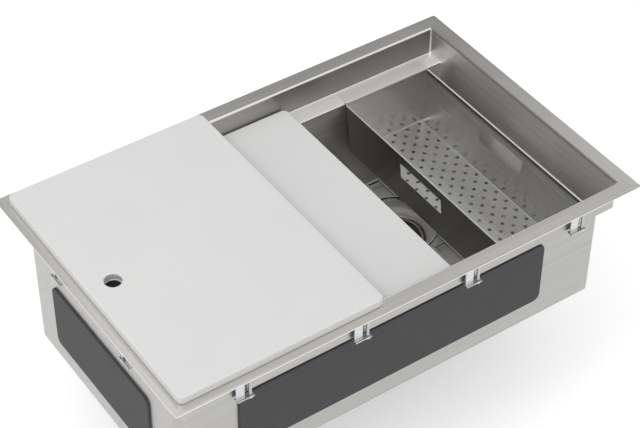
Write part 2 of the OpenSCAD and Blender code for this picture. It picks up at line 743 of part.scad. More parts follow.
// Half the section of a board's round edge, from its middle out to radius r.
module board_edge(reach) {
    square([reach - board_edge_r, board_t]);
    translate([0, board_edge_r]) square([reach, board_t - 2 * board_edge_r]);
    for (y = [board_edge_r, board_t - board_edge_r])
        translate([reach - board_edge_r, y]) circle(board_edge_r, $fn = 32);
}

// A slab of length l and width w with round corners and round edges, standing on z = 0.
module round_slab(l, w) {
    core_l = l - 2 * board_corner_r;
    core_w = w - 2 * board_corner_r;
    for (side = [0, 1]) {
        mirror([side, 0, 0]) rotate([90, 0, 0]) linear_extrude(core_w, center = true) board_edge(l / 2);
        mirror([0, side, 0]) rotate([90, 0, 90]) linear_extrude(core_l, center = true) board_edge(w / 2);
    }
    for (x = [-1, 1], y = [-1, 1])
        translate([x * core_l / 2, y * core_w / 2, 0]) rotate_extrude() board_edge(board_corner_r);
}

module lower_board() color(board_white) translate([lower_board_x, 0, ledge_z])
    round_slab(lower_board_l, lower_board_w);

module upper_board() color(board_white) translate([upper_board_x, 0, 0]) difference() {
    round_slab(upper_board_l, upper_board_w);
    translate([finger_hole_inset - upper_board_l / 2, 0, -past])
        cylinder(r = finger_hole_r, h = board_t + 2 * past);
}

sink_bowl();
sound_pad_front();
sound_pad_back();
sound_pad_left();
sound_pad_right();
sound_pad_floor_left();
sound_pad_floor_right();
clip_rails();
rim_clips();
clip_screws();
strainer_body();
strainer_gasket();
friction_ring();
lock_nut();
tail_washer();
tailpiece();
slip_nut();
basket_cup();
basket_post();
basket_knob();
basket_seal();
grid_frame();
grid_wires();
grid_cross_wires();
grid_drain_ring();
grid_pegs();
grid_feet();
grid_bumpers();
colander();
lower_board();
upper_board();
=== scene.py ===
"""Workstation kitchen sink: a folded steel bowl, its colander, two boards, bottom grid and drain.

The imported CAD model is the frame. Each new piece is a surface worked out with numpy in
millimetres, in the CAD's own frame: origin at the centre of the rim's top, +X to the colander,
+Y to the back, +Z up.
"""

import bmesh
import bpy
import numpy as np
from mathutils import Matrix, Vector


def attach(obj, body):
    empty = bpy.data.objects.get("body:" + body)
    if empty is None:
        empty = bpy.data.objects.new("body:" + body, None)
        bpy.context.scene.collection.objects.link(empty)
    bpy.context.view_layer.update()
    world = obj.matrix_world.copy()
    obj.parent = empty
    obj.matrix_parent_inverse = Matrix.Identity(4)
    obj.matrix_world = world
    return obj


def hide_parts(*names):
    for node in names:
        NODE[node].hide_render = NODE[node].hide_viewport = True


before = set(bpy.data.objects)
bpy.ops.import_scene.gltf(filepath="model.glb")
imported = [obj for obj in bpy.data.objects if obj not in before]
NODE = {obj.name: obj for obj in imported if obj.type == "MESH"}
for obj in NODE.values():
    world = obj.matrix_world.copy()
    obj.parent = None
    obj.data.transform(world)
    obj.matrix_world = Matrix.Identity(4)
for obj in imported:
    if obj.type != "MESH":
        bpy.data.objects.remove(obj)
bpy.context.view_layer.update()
MM = 0.001
SHARP = np.radians(32)


# ---------------------------------------------------------------- camera

def aim_camera():
    """The photograph's camera: found from the rim's four corners, centred, no shift."""
    lens = bpy.data.cameras.new("camera")
    lens.sensor_fit = "HORIZONTAL"
    lens.sensor_width = 36.0
    lens.lens = 106.133
    lens.clip_start = 0.01
    camera = bpy.data.objects.new("camera", lens)
    bpy.context.scene.collection.objects.link(camera)
    right = Vector((0.823278, -0.567598, 0.006800))
    up = Vector((0.380967, 0.561379, 0.734655))
    back = right.cross(up).normalized()
    up = back.cross(right).normalized()
    turn = Matrix((right.normalized(), up, back)).transposed()
    camera.matrix_world = Matrix.Translation((-1.208769, -1.730856, 1.906959)) @ turn.to_4x4()
    bpy.context.scene.camera = camera


aim_camera()

# ---------------------------------------------------------------- surfaces


def band_quads(rows, columns, close_rows=False, close_columns=False):
    """Four-cornered faces of a grid of points, wrapped round where the grid closes."""
    row = np.arange(rows if close_rows else rows - 1)
    column = np.arange(columns if close_columns else columns - 1)
    a, b = np.meshgrid(row, column, indexing="ij")
    a_next = (a + 1) % rows
    b_next = (b + 1) % columns
    corners = [a * columns + b, a_next * columns + b, a_next * columns + b_next, a * columns + b_next]
    return np.stack(corners, -1).reshape(-1, 4)


class Sheet:
    """Points and faces of one piece, gathered from several surfaces and then joined."""

    def __init__(self):
        self.points = []
        self.faces = []
        self.inks = []
        self.count = 0

    def add(self, points, faces, ink=0):
        """Adds a surface: its points in millimetres, its faces and its material's number, or one per face."""
        points = np.asarray(points, float).reshape(-1, 3)
        self.points.append(points)
        self.faces += (np.asarray(faces) + self.count).tolist()
        self.inks += np.broadcast_to(ink, len(faces)).tolist()
        self.count += len(points)

    def cap(self, first, count):
        """Closes a flat loop of so many points, the first of them given, with one face."""
        self.faces.append(list(range(first, first + count)))
        self.inks.append(0)

    def grid(self, points, close_rows=False, close_columns=False, ink=0, flip=False):
        """Adds a grid of points, rows by columns by 3, as four-cornered faces."""
        quads = band_quads(points.shape[0], points.shape[1], close_rows, close_columns)
        self.add(points, quads[:, ::-1] if flip else quads, ink)

    def piece(self, name, body, materials, nodes, slot, merge=0.002, facing=False):
        """Makes the mesh object, joins points closer than merge millimetres, and rides it on body."""
        mesh = bpy.data.meshes.new(name)
        mesh.from_pydata((np.concatenate(self.points) * MM).tolist(), [], self.faces)
        mesh.polygons.foreach_set("material_index", np.array(self.inks, np.int32))
        shape = bmesh.new()
        shape.from_mesh(mesh)
        bmesh.ops.remove_doubles(shape, verts=shape.verts, dist=merge * MM)
        if facing:
            bmesh.ops.recalc_face_normals(shape, faces=shape.faces)
        shape.to_mesh(mesh)
        shape.free()
        for material in materials:
            mesh.materials.append(material)
        smooth_with_sharp_edges(mesh)
        mesh.update()
        piece = bpy.data.objects.new(name, mesh)
        bpy.context.scene.collection.objects.link(piece)
        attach(piece, body)
        if nodes:
            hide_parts(*nodes)
        return piece


def smooth_with_sharp_edges(mesh):
    """Smooth shading, broken at edges that turn more than SHARP."""
    mesh.polygons.foreach_set("use_smooth", np.full(len(mesh.polygons), True))
    mesh.set_sharp_from_angle(angle=SHARP)


def per_face(piece, what, size=3):
    """One row of numbers for each face of a piece: its normal, its centre or its area."""
    values = np.zeros(len(piece.data.polygons) * size)
    piece.data.polygons.foreach_get(what, values)
    return values.reshape(-1, size)


def settle(piece):
    """Applies the piece's modifiers to its mesh."""
    view = bpy.context.evaluated_depsgraph_get()
    solid = bpy.data.meshes.new_from_object(piece.evaluated_get(view))
    solid.name = piece.name
    piece.modifiers.clear()
    piece.data = solid
    smooth_with_sharp_edges(solid)
    keep_flats(piece)


def keep_flats(piece):
    """Leans shading at a bend towards the larger face, so that flat panels look flat."""
    even = piece.modifiers.new("flats", "WEIGHTED_NORMAL")
    even.mode = "FACE_AREA"
    even.weight = 50
    even.keep_sharp = True


def thicken(piece, thickness, shell=0):
    """Gives a sheet its wall, away from the side that its faces look to.

    The new side's material is the old one's number plus shell, or else the last of the list.
    """
    wall = piece.modifiers.new("wall", "SOLIDIFY")
    wall.thickness = thickness * MM
    wall.offset = -1.0
    wall.use_even_offset = True
    wall.use_quality_normals = True
    wall.material_offset = shell
    bpy.context.view_layer.update()
    settle(piece)


def ring_of(half_l, half_w, corner_r, side_y, side_x, steps=6):
    """One level of a rectangular wall: a loop of points, anticlockwise from the right side.

    Straight sides hold the given places, drawn in to where the round corners start; each
    corner is a quarter circle of corner_r in equal steps.
    """
    reach_y = half_w - corner_r
    reach_x = half_l - corner_r
    y = np.clip(side_y, -reach_y, reach_y)
    x = np.clip(side_x, -reach_x, reach_x)
    turn = np.linspace(0, np.pi / 2, steps + 1)
    cos, sin = corner_r * np.cos(turn), corner_r * np.sin(turn)
    right = np.stack([np.full_like(y, half_l), y], -1)
    back = np.stack([x[::-1], np.full_like(x, half_w)], -1)
    left = np.stack([np.full_like(y, -half_l), y[::-1]], -1)
    front = np.stack([x, np.full_like(x, -half_w)], -1)
    corner_1 = np.stack([reach_x + cos, reach_y + sin], -1)
    corner_2 = np.stack([-reach_x - sin, reach_y + cos], -1)
    corner_3 = np.stack([-reach_x - cos, -reach_y - sin], -1)
    corner_4 = np.stack([reach_x + sin, -reach_y - cos], -1)
    return np.concatenate([right, corner_1, back, corner_2, left, corner_3, front, corner_4])


def at_level(loop, z):
    """A flat loop of points lifted to height z."""
    return np.concatenate([loop, np.full((len(loop), 1), float(z))], -1)


def fold(start, end, bulge, steps=4):
    """Points of a quarter bend from start to end: x and z of a quarter ellipse.

    bulge 'x' leaves start along x and arrives along z; 'z' leaves along z first.
    """
    turn = np.linspace(0, np.pi / 2, steps + 1)
    along, across = np.sin(turn), 1 - np.cos(turn)
    if bulge == "x":
        share_x, share_z = along, across
    else:
        share_x, share_z = across, along
    x = start[0] + (end[0] - start[0]) * share_x
    z = start[1] + (end[1] - start[1]) * share_z
    return np.stack([x, z], -1)


# ---------------------------------------------------------------- finishes


class Finish:
    """A procedural material built node by node on one Principled shader."""

    def __init__(self, name, colour, roughness, metallic=0.0, **sockets):
        self.material = bpy.data.materials.new(name)
        self.material.use_nodes = True
        self.material.diffuse_color = (*colour, 1)
        self.nodes = self.material.node_tree.nodes
        self.links = self.material.node_tree.links
        self.shader = self.nodes["Principled BSDF"]
        self.shader.inputs["Base Color"].default_value = (*colour, 1)
        self.shader.inputs["Roughness"].default_value = roughness
        self.shader.inputs["Metallic"].default_value = metallic
        for socket, value in sockets.items():
            self.shader.inputs[socket.replace("_", " ")].default_value = value
        self.place = self.nodes.new("ShaderNodeTexCoord").outputs["Object"]

    def stretched(self, scale, place=None):
        """Object coordinates times scale along each axis, per metre."""
        mapping = self.nodes.new("ShaderNodeMapping")
        mapping.inputs["Scale"].default_value = scale
        self.links.new(place or self.place, mapping.inputs["Vector"])
        return mapping.outputs["Vector"]

    def noise(self, scale, detail=2.0, roughness=0.5, place=None):
        """Soft noise at so many waves per metre along each axis."""
        noise = self.nodes.new("ShaderNodeTexNoise")
        noise.inputs["Scale"].default_value = 1.0
        noise.inputs["Detail"].default_value = detail
        noise.inputs["Roughness"].default_value = roughness
        self.links.new(self.stretched(scale, place), noise.inputs["Vector"])
        return noise.outputs["Fac"]

    def maths(self, operation, a, b):
        """One arithmetic step between sockets or numbers."""
        node = self.nodes.new("ShaderNodeMath")
        node.operation = operation
        for place, value in ((0, a), (1, b)):
            if hasattr(value, "links"):
                self.links.new(value, node.inputs[place])
            else:
                node.inputs[place].default_value = value
        return node.outputs[0]

    def spread(self, value, low, high, from_low=0.25, from_high=0.75):
        """Maps a value's middle range to low..high."""
        node = self.nodes.new("ShaderNodeMapRange")
        node.inputs["From Min"].default_value = from_low
        node.inputs["From Max"].default_value = from_high
        node.inputs["To Min"].default_value = low
        node.inputs["To Max"].default_value = high
        self.links.new(value, node.inputs["Value"])
        return node.outputs["Result"]

    def tint(self, value, colour, dark, light):
        """The base colour, between dark and light times colour as value goes from 0.3 to 0.7."""
        ramp = self.nodes.new("ShaderNodeValToRGB")
        for end, position, tone in zip(ramp.color_ramp.elements, (0.3, 0.7), (dark, light)):
            end.position = position
            end.color = (*(tone * c for c in colour), 1)
        self.links.new(value, ramp.inputs["Fac"])
        self.links.new(ramp.outputs["Color"], self.shader.inputs["Base Color"])
        return ramp.outputs["Color"]

    def rough(self, value):
        """Drives the roughness."""
        self.links.new(value, self.shader.inputs["Roughness"])

    def bump(self, height, distance, under=None):
        """A bump of so many metres on the normal, on top of another bump if given."""
        node = self.nodes.new("ShaderNodeBump")
        node.inputs["Distance"].default_value = distance
        self.links.new(height, node.inputs["Height"])
        if under is not None:
            self.links.new(under, node.inputs["Normal"])
        self.links.new(node.outputs["Normal"], self.shader.inputs["Normal"])
        return node.outputs["Normal"]


ACROSS_GRAIN = {"x": (0, 0.7, 0.7), "y": (0.7, 0, 0.7)}


def brushed_steel(name, grain, colour, roughness, spread, wave=1.0, metallic=1.0, fade=None):
    """Satin sheet: fine scratches along one axis, slight tone streaks and a faint waviness.

    The gloss spreads across the scratches, so the tangent is the direction across them. With fade = (axis,
    from, to, share) the tone falls along an axis, in metres, to that share of itself: a painted shade.
    """
    finish = Finish(name, colour, roughness, metallic=metallic, Anisotropic=spread)
    along = {"x": (9, 900, 900), "y": (900, 9, 900)}[grain]
    streak = {"x": (1.5, 130, 130), "y": (130, 1.5, 130)}[grain]
    scratch = finish.noise(along, detail=3.0, roughness=0.6)
    tone = finish.noise(streak, detail=2.0)
    cloud = finish.noise((7, 7, 7), detail=2.0)
    tinted = finish.tint(tone, colour, 0.95, 1.04)
    if fade:
        axis, start, end, least = fade
        split = finish.nodes.new("ShaderNodeSeparateXYZ")
        finish.links.new(finish.place, split.inputs[0])
        share = finish.spread(split.outputs[axis], 1.0, least, start, end)
        dimmed = finish.nodes.new("ShaderNodeVectorMath")
        dimmed.operation = "SCALE"
        finish.links.new(tinted, dimmed.inputs[0])
        finish.links.new(share, dimmed.inputs["Scale"])
        finish.links.new(dimmed.outputs[0], finish.shader.inputs["Base Color"])
    mixed = finish.maths("ADD", finish.maths("MULTIPLY", scratch, 0.6), finish.maths("MULTIPLY", cloud, 0.4))
    finish.rough(finish.spread(mixed, roughness - 0.04, roughness + 0.05))
    direction = finish.nodes.new("ShaderNodeCombineXYZ")
    for socket, value in zip(direction.inputs, ACROSS_GRAIN[grain]):
        socket.default_value = value
    finish.links.new(direction.outputs[0], finish.shader.inputs["Tangent"])
    calm = finish.bump(finish.noise((11, 11, 11), detail=1.0), 0.0004 * wave)
    finish.bump(scratch, 0.000002, under=calm)
    return finish.material


def moulded_plastic(name, colour, roughness=0.45):
    """Matte cutting-board plastic: a faint pebble, faint knife marks and a soft cloudiness."""
    finish = Finish(name, colour, roughness)
    cloud = finish.noise((9, 9, 9), detail=3.0)
    finish.tint(cloud, colour, 0.985, 1.0)
    pebble = finish.noise((900, 900, 900), detail=2.0)
    finish.rough(finish.spread(cloud, roughness - 0.05, roughness + 0.07))
    calm = finish.bump(pebble, 0.00004)
    finish.bump(finish.noise((14, 420, 420), detail=2.0), 0.00002, under=calm)
    return finish.material


def rubber(name, colour, pebble=700, height=0.00015, roughness=0.75):
    """Rubber or felted sheet: fine pebbled skin with dusty patches."""
    finish = Finish(name, colour, roughness)
    grain = finish.noise((pebble, pebble, pebble), detail=3.0)
    dust = finish.noise((35, 35, 35), detail=4.0)
    finish.tint(dust, colour, 0.85, 1.2)
    finish.rough(finish.spread(dust, roughness - 0.08, roughness + 0.1))
    finish.bump(grain, height)
    return finish.material


def bright_metal(name, colour, roughness, grain=(500, 500, 500), metallic=1.0):
    """Polished or plated metal with fine handling marks."""
    finish = Finish(name, colour, roughness, metallic=metallic)
    marks = finish.noise(grain, detail=3.0)
    cloud = finish.noise((40, 40, 40), detail=2.0)
    finish.tint(cloud, colour, 0.94, 1.04)
    finish.rough(finish.spread(marks, roughness - 0.04, roughness + 0.06))
    finish.bump(marks, 0.00002)
    return finish.material


STEEL = (0.80, 0.78, 0.75)
TRAY_STEEL = (0.635, 0.63, 0.62)
NEAR_WHITE_STEEL = (0.97, 0.96, 0.94)
# Each tone is fitted to what the panel reflects in the photograph, so the panels carry lit and shaded copies
# of one steel: painted light and shade. A steel below full metallic catches soft light that a mirror there
# would miss.
rim_steel_x = brushed_steel("rim_brushed_along", "x", STEEL, 0.18, 0.3)
rim_steel_y = brushed_steel("rim_brushed_across", "y", STEEL, 0.18, 0.3)
ledge_steel = brushed_steel("ledge_brushed", "x", (0.93, 0.91, 0.88), 0.42, 0.5, metallic=0.55)
# Upper walls: a dark steel tone that falls further along X towards the colander's end, a painted shade.
back_steel = brushed_steel("upper_wall_brushed", "x", (0.46, 0.45, 0.433), 0.38, 0.85,
                           fade=("X", -0.05, 0.16, 0.62))
low_steel = brushed_steel("lower_wall_brushed", "x", (0.86, 0.84, 0.81), 0.4, 0.85)
end_steel = brushed_steel("end_wall_brushed", "y", STEEL, 0.38, 0.88)
floor_steel = brushed_steel("bowl_floor_brushed", "x", (0.95, 0.93, 0.90), 0.6, 0.3, metallic=0.15)
low_end_steel = brushed_steel("low_end_wall_brushed", "y", (0.92, 0.90, 0.87), 0.4, 0.6, metallic=0.4)
# Bends: a near-white tone that draws a bright line along each fold, a painted highlight.
bend_highlight_paint = brushed_steel("bend_painted_highlight", "x", NEAR_WHITE_STEEL, 0.3, 0.0)
mill_steel = brushed_steel("bowl_outside_mill", "x", (0.46, 0.455, 0.44), 0.42, 0.3)
tray_steel_y = brushed_steel("colander_steel_along", "y", TRAY_STEEL, 0.24, 0.5, wave=0.6)
# Its tone falls along X towards the colander's right end: a painted shade.
tray_steel_x = brushed_steel("colander_steel_across", "x", TRAY_STEEL, 0.24, 0.5, wave=0.6,
                             fade=("X", 0.2, 0.34, 0.72))
# The hem's face darkens to a tenth just under its bead: a painted shade.
hem_steel = brushed_steel("colander_hem_steel", "y", TRAY_STEEL, 0.24, 0.5, wave=0.6,
                          fade=("Z", -0.0590, -0.0525, 0.1))
# Lips, top edges and the outside facing the end wall: a brighter, part-matt copy of the colander steel,
# painted light.
lip_steel = brushed_steel("colander_lip_steel", "x", (0.90, 0.88, 0.85), 0.36, 0.5, wave=0.6, metallic=0.6)
# Outside of the colander: a dark copy of its steel, a painted shade.
tray_outside_paint = brushed_steel("colander_outside_painted_shade", "y", (0.19, 0.185, 0.18), 0.24, 0.5, wave=0.6)
# Corner and lip bends of the colander: a darker copy that dims their glint, a painted shade.
tray_bend_shade_paint = brushed_steel("colander_bends_painted_shade", "x", (0.33, 0.325, 0.32), 0.42, 0.0)
# Near black: the walls of the colander's holes and a strip under the hem's bead, a painted shade.
black_painted_shade = bright_metal("black_painted_shade", (0.03, 0.03, 0.03), 0.5)
# Grid wires and studs: near-white and mostly matt, so the lamp lights the wires' tops to a bright line, a
# painted highlight on real light.
wire_steel = brushed_steel("grid_wire_steel", "x", NEAR_WHITE_STEEL, 0.4, 0.0, wave=0, metallic=0.12)
wire_shade_paint = bright_metal("grid_wire_painted_shade", (0.05, 0.048, 0.045), 0.4)
chrome = bright_metal("chrome", (0.56, 0.56, 0.565), 0.14)
nut_metal = bright_metal("zinc_nut", (0.62, 0.61, 0.60), 0.3)
# Strainer: a darker brown tone; the flange top's outer ring and bead take a bright, part-matt finish, a
# painted highlight.
strainer_metal = bright_metal("strainer_dark_brown", (0.50, 0.45, 0.38), 0.3)
flange_highlight_paint = bright_metal("strainer_flange_painted_highlight", (0.90, 0.88, 0.85), 0.5, metallic=0.3)
# Basket, post and knob: a dark steel tone, the painted shade of the drain's inside.
basket_metal = bright_metal("basket_painted_shade", (0.26, 0.245, 0.23), 0.3)
galvanised = bright_metal("galvanised_steel", (0.62, 0.63, 0.64), 0.35, (140, 140, 140))
board_plastic = moulded_plastic("board_plastic", (0.68, 0.68, 0.675))
nylon = moulded_plastic("nylon", (0.75, 0.73, 0.66), 0.35)
pad_rubber = rubber("pad_rubber", (0.055, 0.055, 0.058))
black_rubber = rubber("black_rubber", (0.018, 0.018, 0.018), 900, 0.0001, 0.6)
fibre = rubber("fibre", (0.42, 0.31, 0.19), 500, 0.0002, 0.85)

# ---------------------------------------------------------------- bowl

SHEET = 1.5
INNER_X, INNER_Y, LOWER_Y = 386.35, 233.95, 200.95
LEDGE_Z, LOW_Z, FLOOR_Z, RECESS_Z = -50.0, -95.0, -252.5, -257.0
DRAIN = np.array([205.0, 72.0])
RECESS_R, HOLE_R = 69.0, 45.0
BEND = 3.0
CORNER_R = 4.0
RAYS_R = RECESS_R + 3.0
DISH_OUT, DISH_IN = 70.5, 61.5
CREASE_HALF, CREASE_DEPTH = 2.5, 0.6
(RIM_X_INK, RIM_Y_INK, UPPER_INK, LOWER_INK, END_INK, LEDGE_INK, FLOOR_INK, BEND_INK,
 LOW_END_INK) = range(9)
BOWL_STEELS = [rim_steel_x, rim_steel_y, back_steel, low_steel, end_steel, ledge_steel, floor_steel,
               bend_highlight_paint, low_end_steel, mill_steel]


def crease_ends():
    """Where each crease's line, from the drain towards a corner of the floor, meets a wall.

    The line runs to the point 30 mm in from the corner each way and on to the wall.
    Returns, by corner, the direction and the place along the wall that it meets.
    """
    found = []
    for x_side, y_side in ((1, 1), (-1, 1), (-1, -1), (1, -1)):
        run = np.array([x_side * (INNER_X - 30), y_side * (LOWER_Y - 30)]) - DRAIN
        run = run / np.linalg.norm(run)
        to_x = (x_side * (INNER_X - BEND) - DRAIN[0]) / run[0]
        to_y = (y_side * (LOWER_Y - BEND) - DRAIN[1]) / run[1]
        found.append((run, min(to_x, to_y), to_x < to_y))
    return found


def bowl_levels():
    """The sheet's section from the flange's edge to the floor: half length, half width, corner, z.

    The end walls go straight down while the front and back walls step in over the ledges, so
    the two half sizes are separate columns.
    """
    levels = [(412.75, 260.35, 3.0, 0.0)]
    bend = fold((BEND, 0.0), (0.0, -BEND), "x")
    for out, z in bend:
        levels.append((INNER_X + out, INNER_Y + out, CORNER_R + out, z))
    for inward, z in fold((0.0, LEDGE_Z + BEND), (-BEND, LEDGE_Z), "z"):
        levels.append((INNER_X, INNER_Y + inward, CORNER_R, z))
    for out, z in fold((BEND, LEDGE_Z), (0.0, LEDGE_Z - BEND), "x"):
        levels.append((INNER_X, LOWER_Y + out, CORNER_R, z))
    levels.append((INNER_X, LOWER_Y, CORNER_R, LOW_Z))
    for inward, z in fold((0.0, FLOOR_Z + BEND), (-BEND, FLOOR_Z), "z"):
        levels.append((INNER_X + inward, LOWER_Y + inward, CORNER_R + inward * 0.6, z))
    return levels


def build_bowl():
    """One folded sheet: levels of the wall, then the floor drawn in along rays to the drain.

    Floor points run straight from the wall's lowest loop to the recess's circle. The rays over
    a crease run side by side, 1.25 mm apart, and the middle ones are pressed down. The recess
    is a cosine slope between two circles, then flat to the hole.
    """
    offsets = CREASE_HALF * np.array([-1, -0.5, 0.0, 0.5, 1])
    ends = crease_ends()
    marks_y, marks_x = [LOWER_Y + BEND - CORNER_R, LOWER_Y - CORNER_R], []
    marks_y += [-m for m in marks_y]
    for run, length, on_x_wall in ends:
        middle = DRAIN + run * length
        if on_x_wall:
            marks_y += (middle[1] + offsets / abs(run[0])).tolist()
        else:
            marks_x += (middle[0] + offsets / abs(run[1])).tolist()
    marks_y += np.linspace(-150, 150, 11).tolist()
    marks_x += np.linspace(-370, 370, 31).tolist()
    marks_y, marks_x = np.unique(np.round(marks_y, 4)), np.unique(np.round(marks_x, 4))
    loops = [at_level(ring_of(a, b, r, marks_y, marks_x), z) for a, b, r, z in bowl_levels()]
    edge = loops[-1][:, :2]
    reach = edge - DRAIN
    angle = np.arctan2(reach[:, 1], reach[:, 0])
    for run, length, on_x_wall in ends:
        off = np.angle(np.exp(1j * (angle - np.arctan2(run[1], run[0]))))
        shift = np.arcsin((CREASE_HALF + 0.1) / RAYS_R) - CREASE_HALF / length
        angle = angle + np.sign(off) * shift * np.clip(1 - np.abs(off) / 0.25, 0, 1)
    start = DRAIN + RAYS_R * np.stack([np.cos(angle), np.sin(angle)], -1)
    depth = np.zeros(len(edge))
    for run, length, on_x_wall in ends:
        across = reach @ np.array([-run[1], run[0]])
        ahead = reach @ run
        near = (np.abs(across) < CREASE_HALF + 0.1) & (ahead > 0)
        side = across[near]
        out = np.sqrt(RAYS_R ** 2 - side ** 2)
        start[near] = DRAIN + out[:, None] * run + side[:, None] * np.array([-run[1], run[0]])
        depth[near] = CREASE_DEPTH * np.cos(np.clip(side / CREASE_HALF, -1, 1) * np.pi / 2) ** 2
    length = np.linalg.norm(edge - start, axis=1)
    for step, pressing in ((12, 0), (26, 0), (32, 0.7), (40, 1), (0.2, 1), (0.4, 1), (0.6, 1), (0.8, 1),
                           (0.93, 1), (1.0, 0)):
        share = step / length if step > 1 else (40 + (length - 40) * step) / length
        level = edge + (start - edge) * share[:, None]
        loops.append(np.concatenate([level, (FLOOR_Z - depth * pressing)[:, None]], -1))
    turn = np.arctan2(start[:, 1] - DRAIN[1], start[:, 0] - DRAIN[0])
    ray = np.stack([np.cos(turn), np.sin(turn)], -1)
    for radius in (DISH_OUT, 69.5, 68.2, 66.8, 65.2, 63.8, 62.5, DISH_IN, 54.0, HOLE_R):
        share = np.clip((radius - DISH_IN) / (DISH_OUT - DISH_IN), 0, 1)
        z = RECESS_Z + (FLOOR_Z - RECESS_Z) * (1 - np.cos(np.pi * share)) / 2
        loops.append(at_level(DRAIN + radius * ray, z))
    points = np.stack(loops)
    quads = band_quads(points.shape[0], points.shape[1], close_columns=True)[:, ::-1]
    flat = points.reshape(-1, 3)
    sheet = Sheet()
    sheet.add(flat, quads, panel_inks(flat[quads]))
    bowl = sheet.piece("bowl", "sink", BOWL_STEELS, ["sink_bowl"], "bowl_steel")
    thicken(bowl, SHEET, shell=len(BOWL_STEELS))


def panel_inks(corners):
    """The finish of each four-cornered face of the bowl, by where its middle is and how it looks."""
    middle = corners.mean(1)
    normal = np.abs(np.cross(corners[:, 1] - corners[:, 0], corners[:, 2] - corners[:, 0]))
    past_x, past_y = np.abs(middle[:, 0]) - INNER_X, np.abs(middle[:, 1]) - INNER_Y
    out = np.maximum(past_x, past_y)
    on_end = (past_x > 0) & (past_x > past_y)
    looks_x = (normal[:, 0] > normal[:, 1]) & (normal[:, 0] > normal[:, 2])
    ink = np.where(looks_x, END_INK, np.where(middle[:, 2] < LEDGE_Z - BEND, LOWER_INK, UPPER_INK))
    ink[looks_x & (middle[:, 2] < LOW_Z)] = LOW_END_INK
    ink[(normal[:, 2] > normal[:, 1]) & (np.abs(middle[:, 2] - LEDGE_Z) < 2)] = LEDGE_INK
    ink[middle[:, 2] < FLOOR_Z + 1] = FLOOR_INK
    # Folds from the flange into the front and back walls take the near-white bend finish: a painted
    # highlight.
    ink[(out > 0) & (out < BEND)] = BEND_INK
    # On the end walls the same folds take the dark upper-wall finish: a painted dark line, painted shade.
    ink[(out > 0) & (out < BEND) & on_end] = UPPER_INK
    ink[out > BEND] = np.where(on_end, RIM_Y_INK, RIM_X_INK)[out > BEND]
    return ink


build_bowl()

# ---------------------------------------------------------------- turned, drawn and bent shapes


def round_corners(points, radius, steps=4):
    """A closed outline with its corners rounded: each corner is an exact arc, a rational curve
    between the two places where the arc touches, with the corner as its middle point."""
    p = np.asarray(points, float)
    before, after = np.roll(p, 1, 0) - p, np.roll(p, -1, 0) - p
    long_before = np.linalg.norm(before, axis=1, keepdims=True)
    long_after = np.linalg.norm(after, axis=1, keepdims=True)
    before, after = before / long_before, after / long_after
    turn = np.pi - np.arccos(np.clip((before * after).sum(1, keepdims=True), -1, 1))
    radius = np.broadcast_to(np.asarray(radius, float).reshape(-1, 1), turn.shape)
    reach = np.minimum(radius * np.tan(turn / 2), 0.48 * np.minimum(long_before, long_after))
    t = np.linspace(0, 1, steps + 1).reshape(1, -1, 1)
    weight = np.cos(turn / 2)[:, :, None]
    a, c, b = (p + before * reach)[:, None], p[:, None], (p + after * reach)[:, None]
    top = (1 - t) ** 2 * a + 2 * weight * t * (1 - t) * c + t ** 2 * b
    return (top / ((1 - t) ** 2 + 2 * weight * t * (1 - t) + t ** 2)).reshape(-1, 2)


def lathe(profile, centre=(DRAIN[0], DRAIN[1]), segments=96):
    """A closed section of radius and height turned round a vertical axis."""
    turn = np.arange(segments) * 2 * np.pi / segments
    profile = np.asarray(profile, float)
    r, z = profile[:, :1], profile[:, 1:]
    x = centre[0] + r * np.cos(turn)
    y = centre[1] + r * np.sin(turn)
    return np.stack([x, y, np.broadcast_to(z, x.shape)], -1)


def tube(path, radius, sides=14, closed=False, end_round=0.5):
    """A round wire along a path: circles across the path's direction, its open ends rounded off
    by end_round times the radius and closed to a point."""
    path = np.asarray(path, float)
    if closed:
        along = np.roll(path, -1, 0) - np.roll(path, 1, 0)
        size = np.full(len(path), float(radius))
    else:
        first = path[1] - path[0]
        last = path[-1] - path[-2]
        first, last = first / np.linalg.norm(first), last / np.linalg.norm(last)
        lift = np.array([0.0, 0.0, 0.29, 1.0])
        narrow = np.array([0.0, 0.5, 0.85, 1.0])
        narrow = 1 - end_round + end_round * narrow
        narrow[0] = 0
        start = path[0] + first * (lift * end_round * radius)[:, None]
        end = path[-1] - last * (lift[::-1] * end_round * radius)[:, None]
        middle = path[1:-1]
        size = radius * np.concatenate([narrow, np.ones(len(middle)), narrow[::-1]])
        path = np.concatenate([start, middle, end])
        along = np.gradient(path, axis=0)
        along[:4], along[-4:] = first, last
    along = along / np.linalg.norm(along, axis=1, keepdims=True)
    steep = np.abs(along[:, 2:]) > 0.9
    guide = np.where(steep, [[1.0, 0, 0]], [[0, 0, 1.0]])
    side = np.cross(along, guide)
    side = side / np.linalg.norm(side, axis=1, keepdims=True)
    up = np.cross(side, along)
    turn = np.arange(sides) * 2 * np.pi / sides
    circle = np.cos(turn)[None, :, None] * side[:, None] + np.sin(turn)[None, :, None] * up[:, None]
    return path[:, None] + size[:, None, None] * circle


def turned_piece(name, body, material, profiles, nodes, slot, segments=96):
    """One or more closed sections turned round the drain's axis, as one piece."""
    sheet = Sheet()
    for profile in profiles:
        sheet.grid(lathe(profile, segments=segments), close_rows=True, close_columns=True)
    piece = sheet.piece(name, body, [material], nodes, slot, facing=True)
    keep_flats(piece)
    return piece


# ---------------------------------------------------------------- boards

BOARD_CORNER_R, BOARD_EDGE_R, HOLE_EDGE_R = 10.0, 3.0, 2.0


def slab_levels(half_l, half_w, corner_r, edge_r, bottom, top, steps=5):
    """Section of a board's outside from the top's rim to the bottom's rim, edge rounded by edge_r."""
    turn = np.linspace(0, np.pi / 2, steps + 1)
    drawn = edge_r * (1 - np.sin(turn))
    drop = edge_r * (1 - np.cos(turn))
    upper = [(half_l - d, half_w - d, corner_r - d, top - h) for d, h in zip(drawn, drop)]
    lower = [(half_l - d, half_w - d, corner_r - d, bottom + h) for d, h in zip(drawn[::-1], drop[::-1])]
    return upper + lower


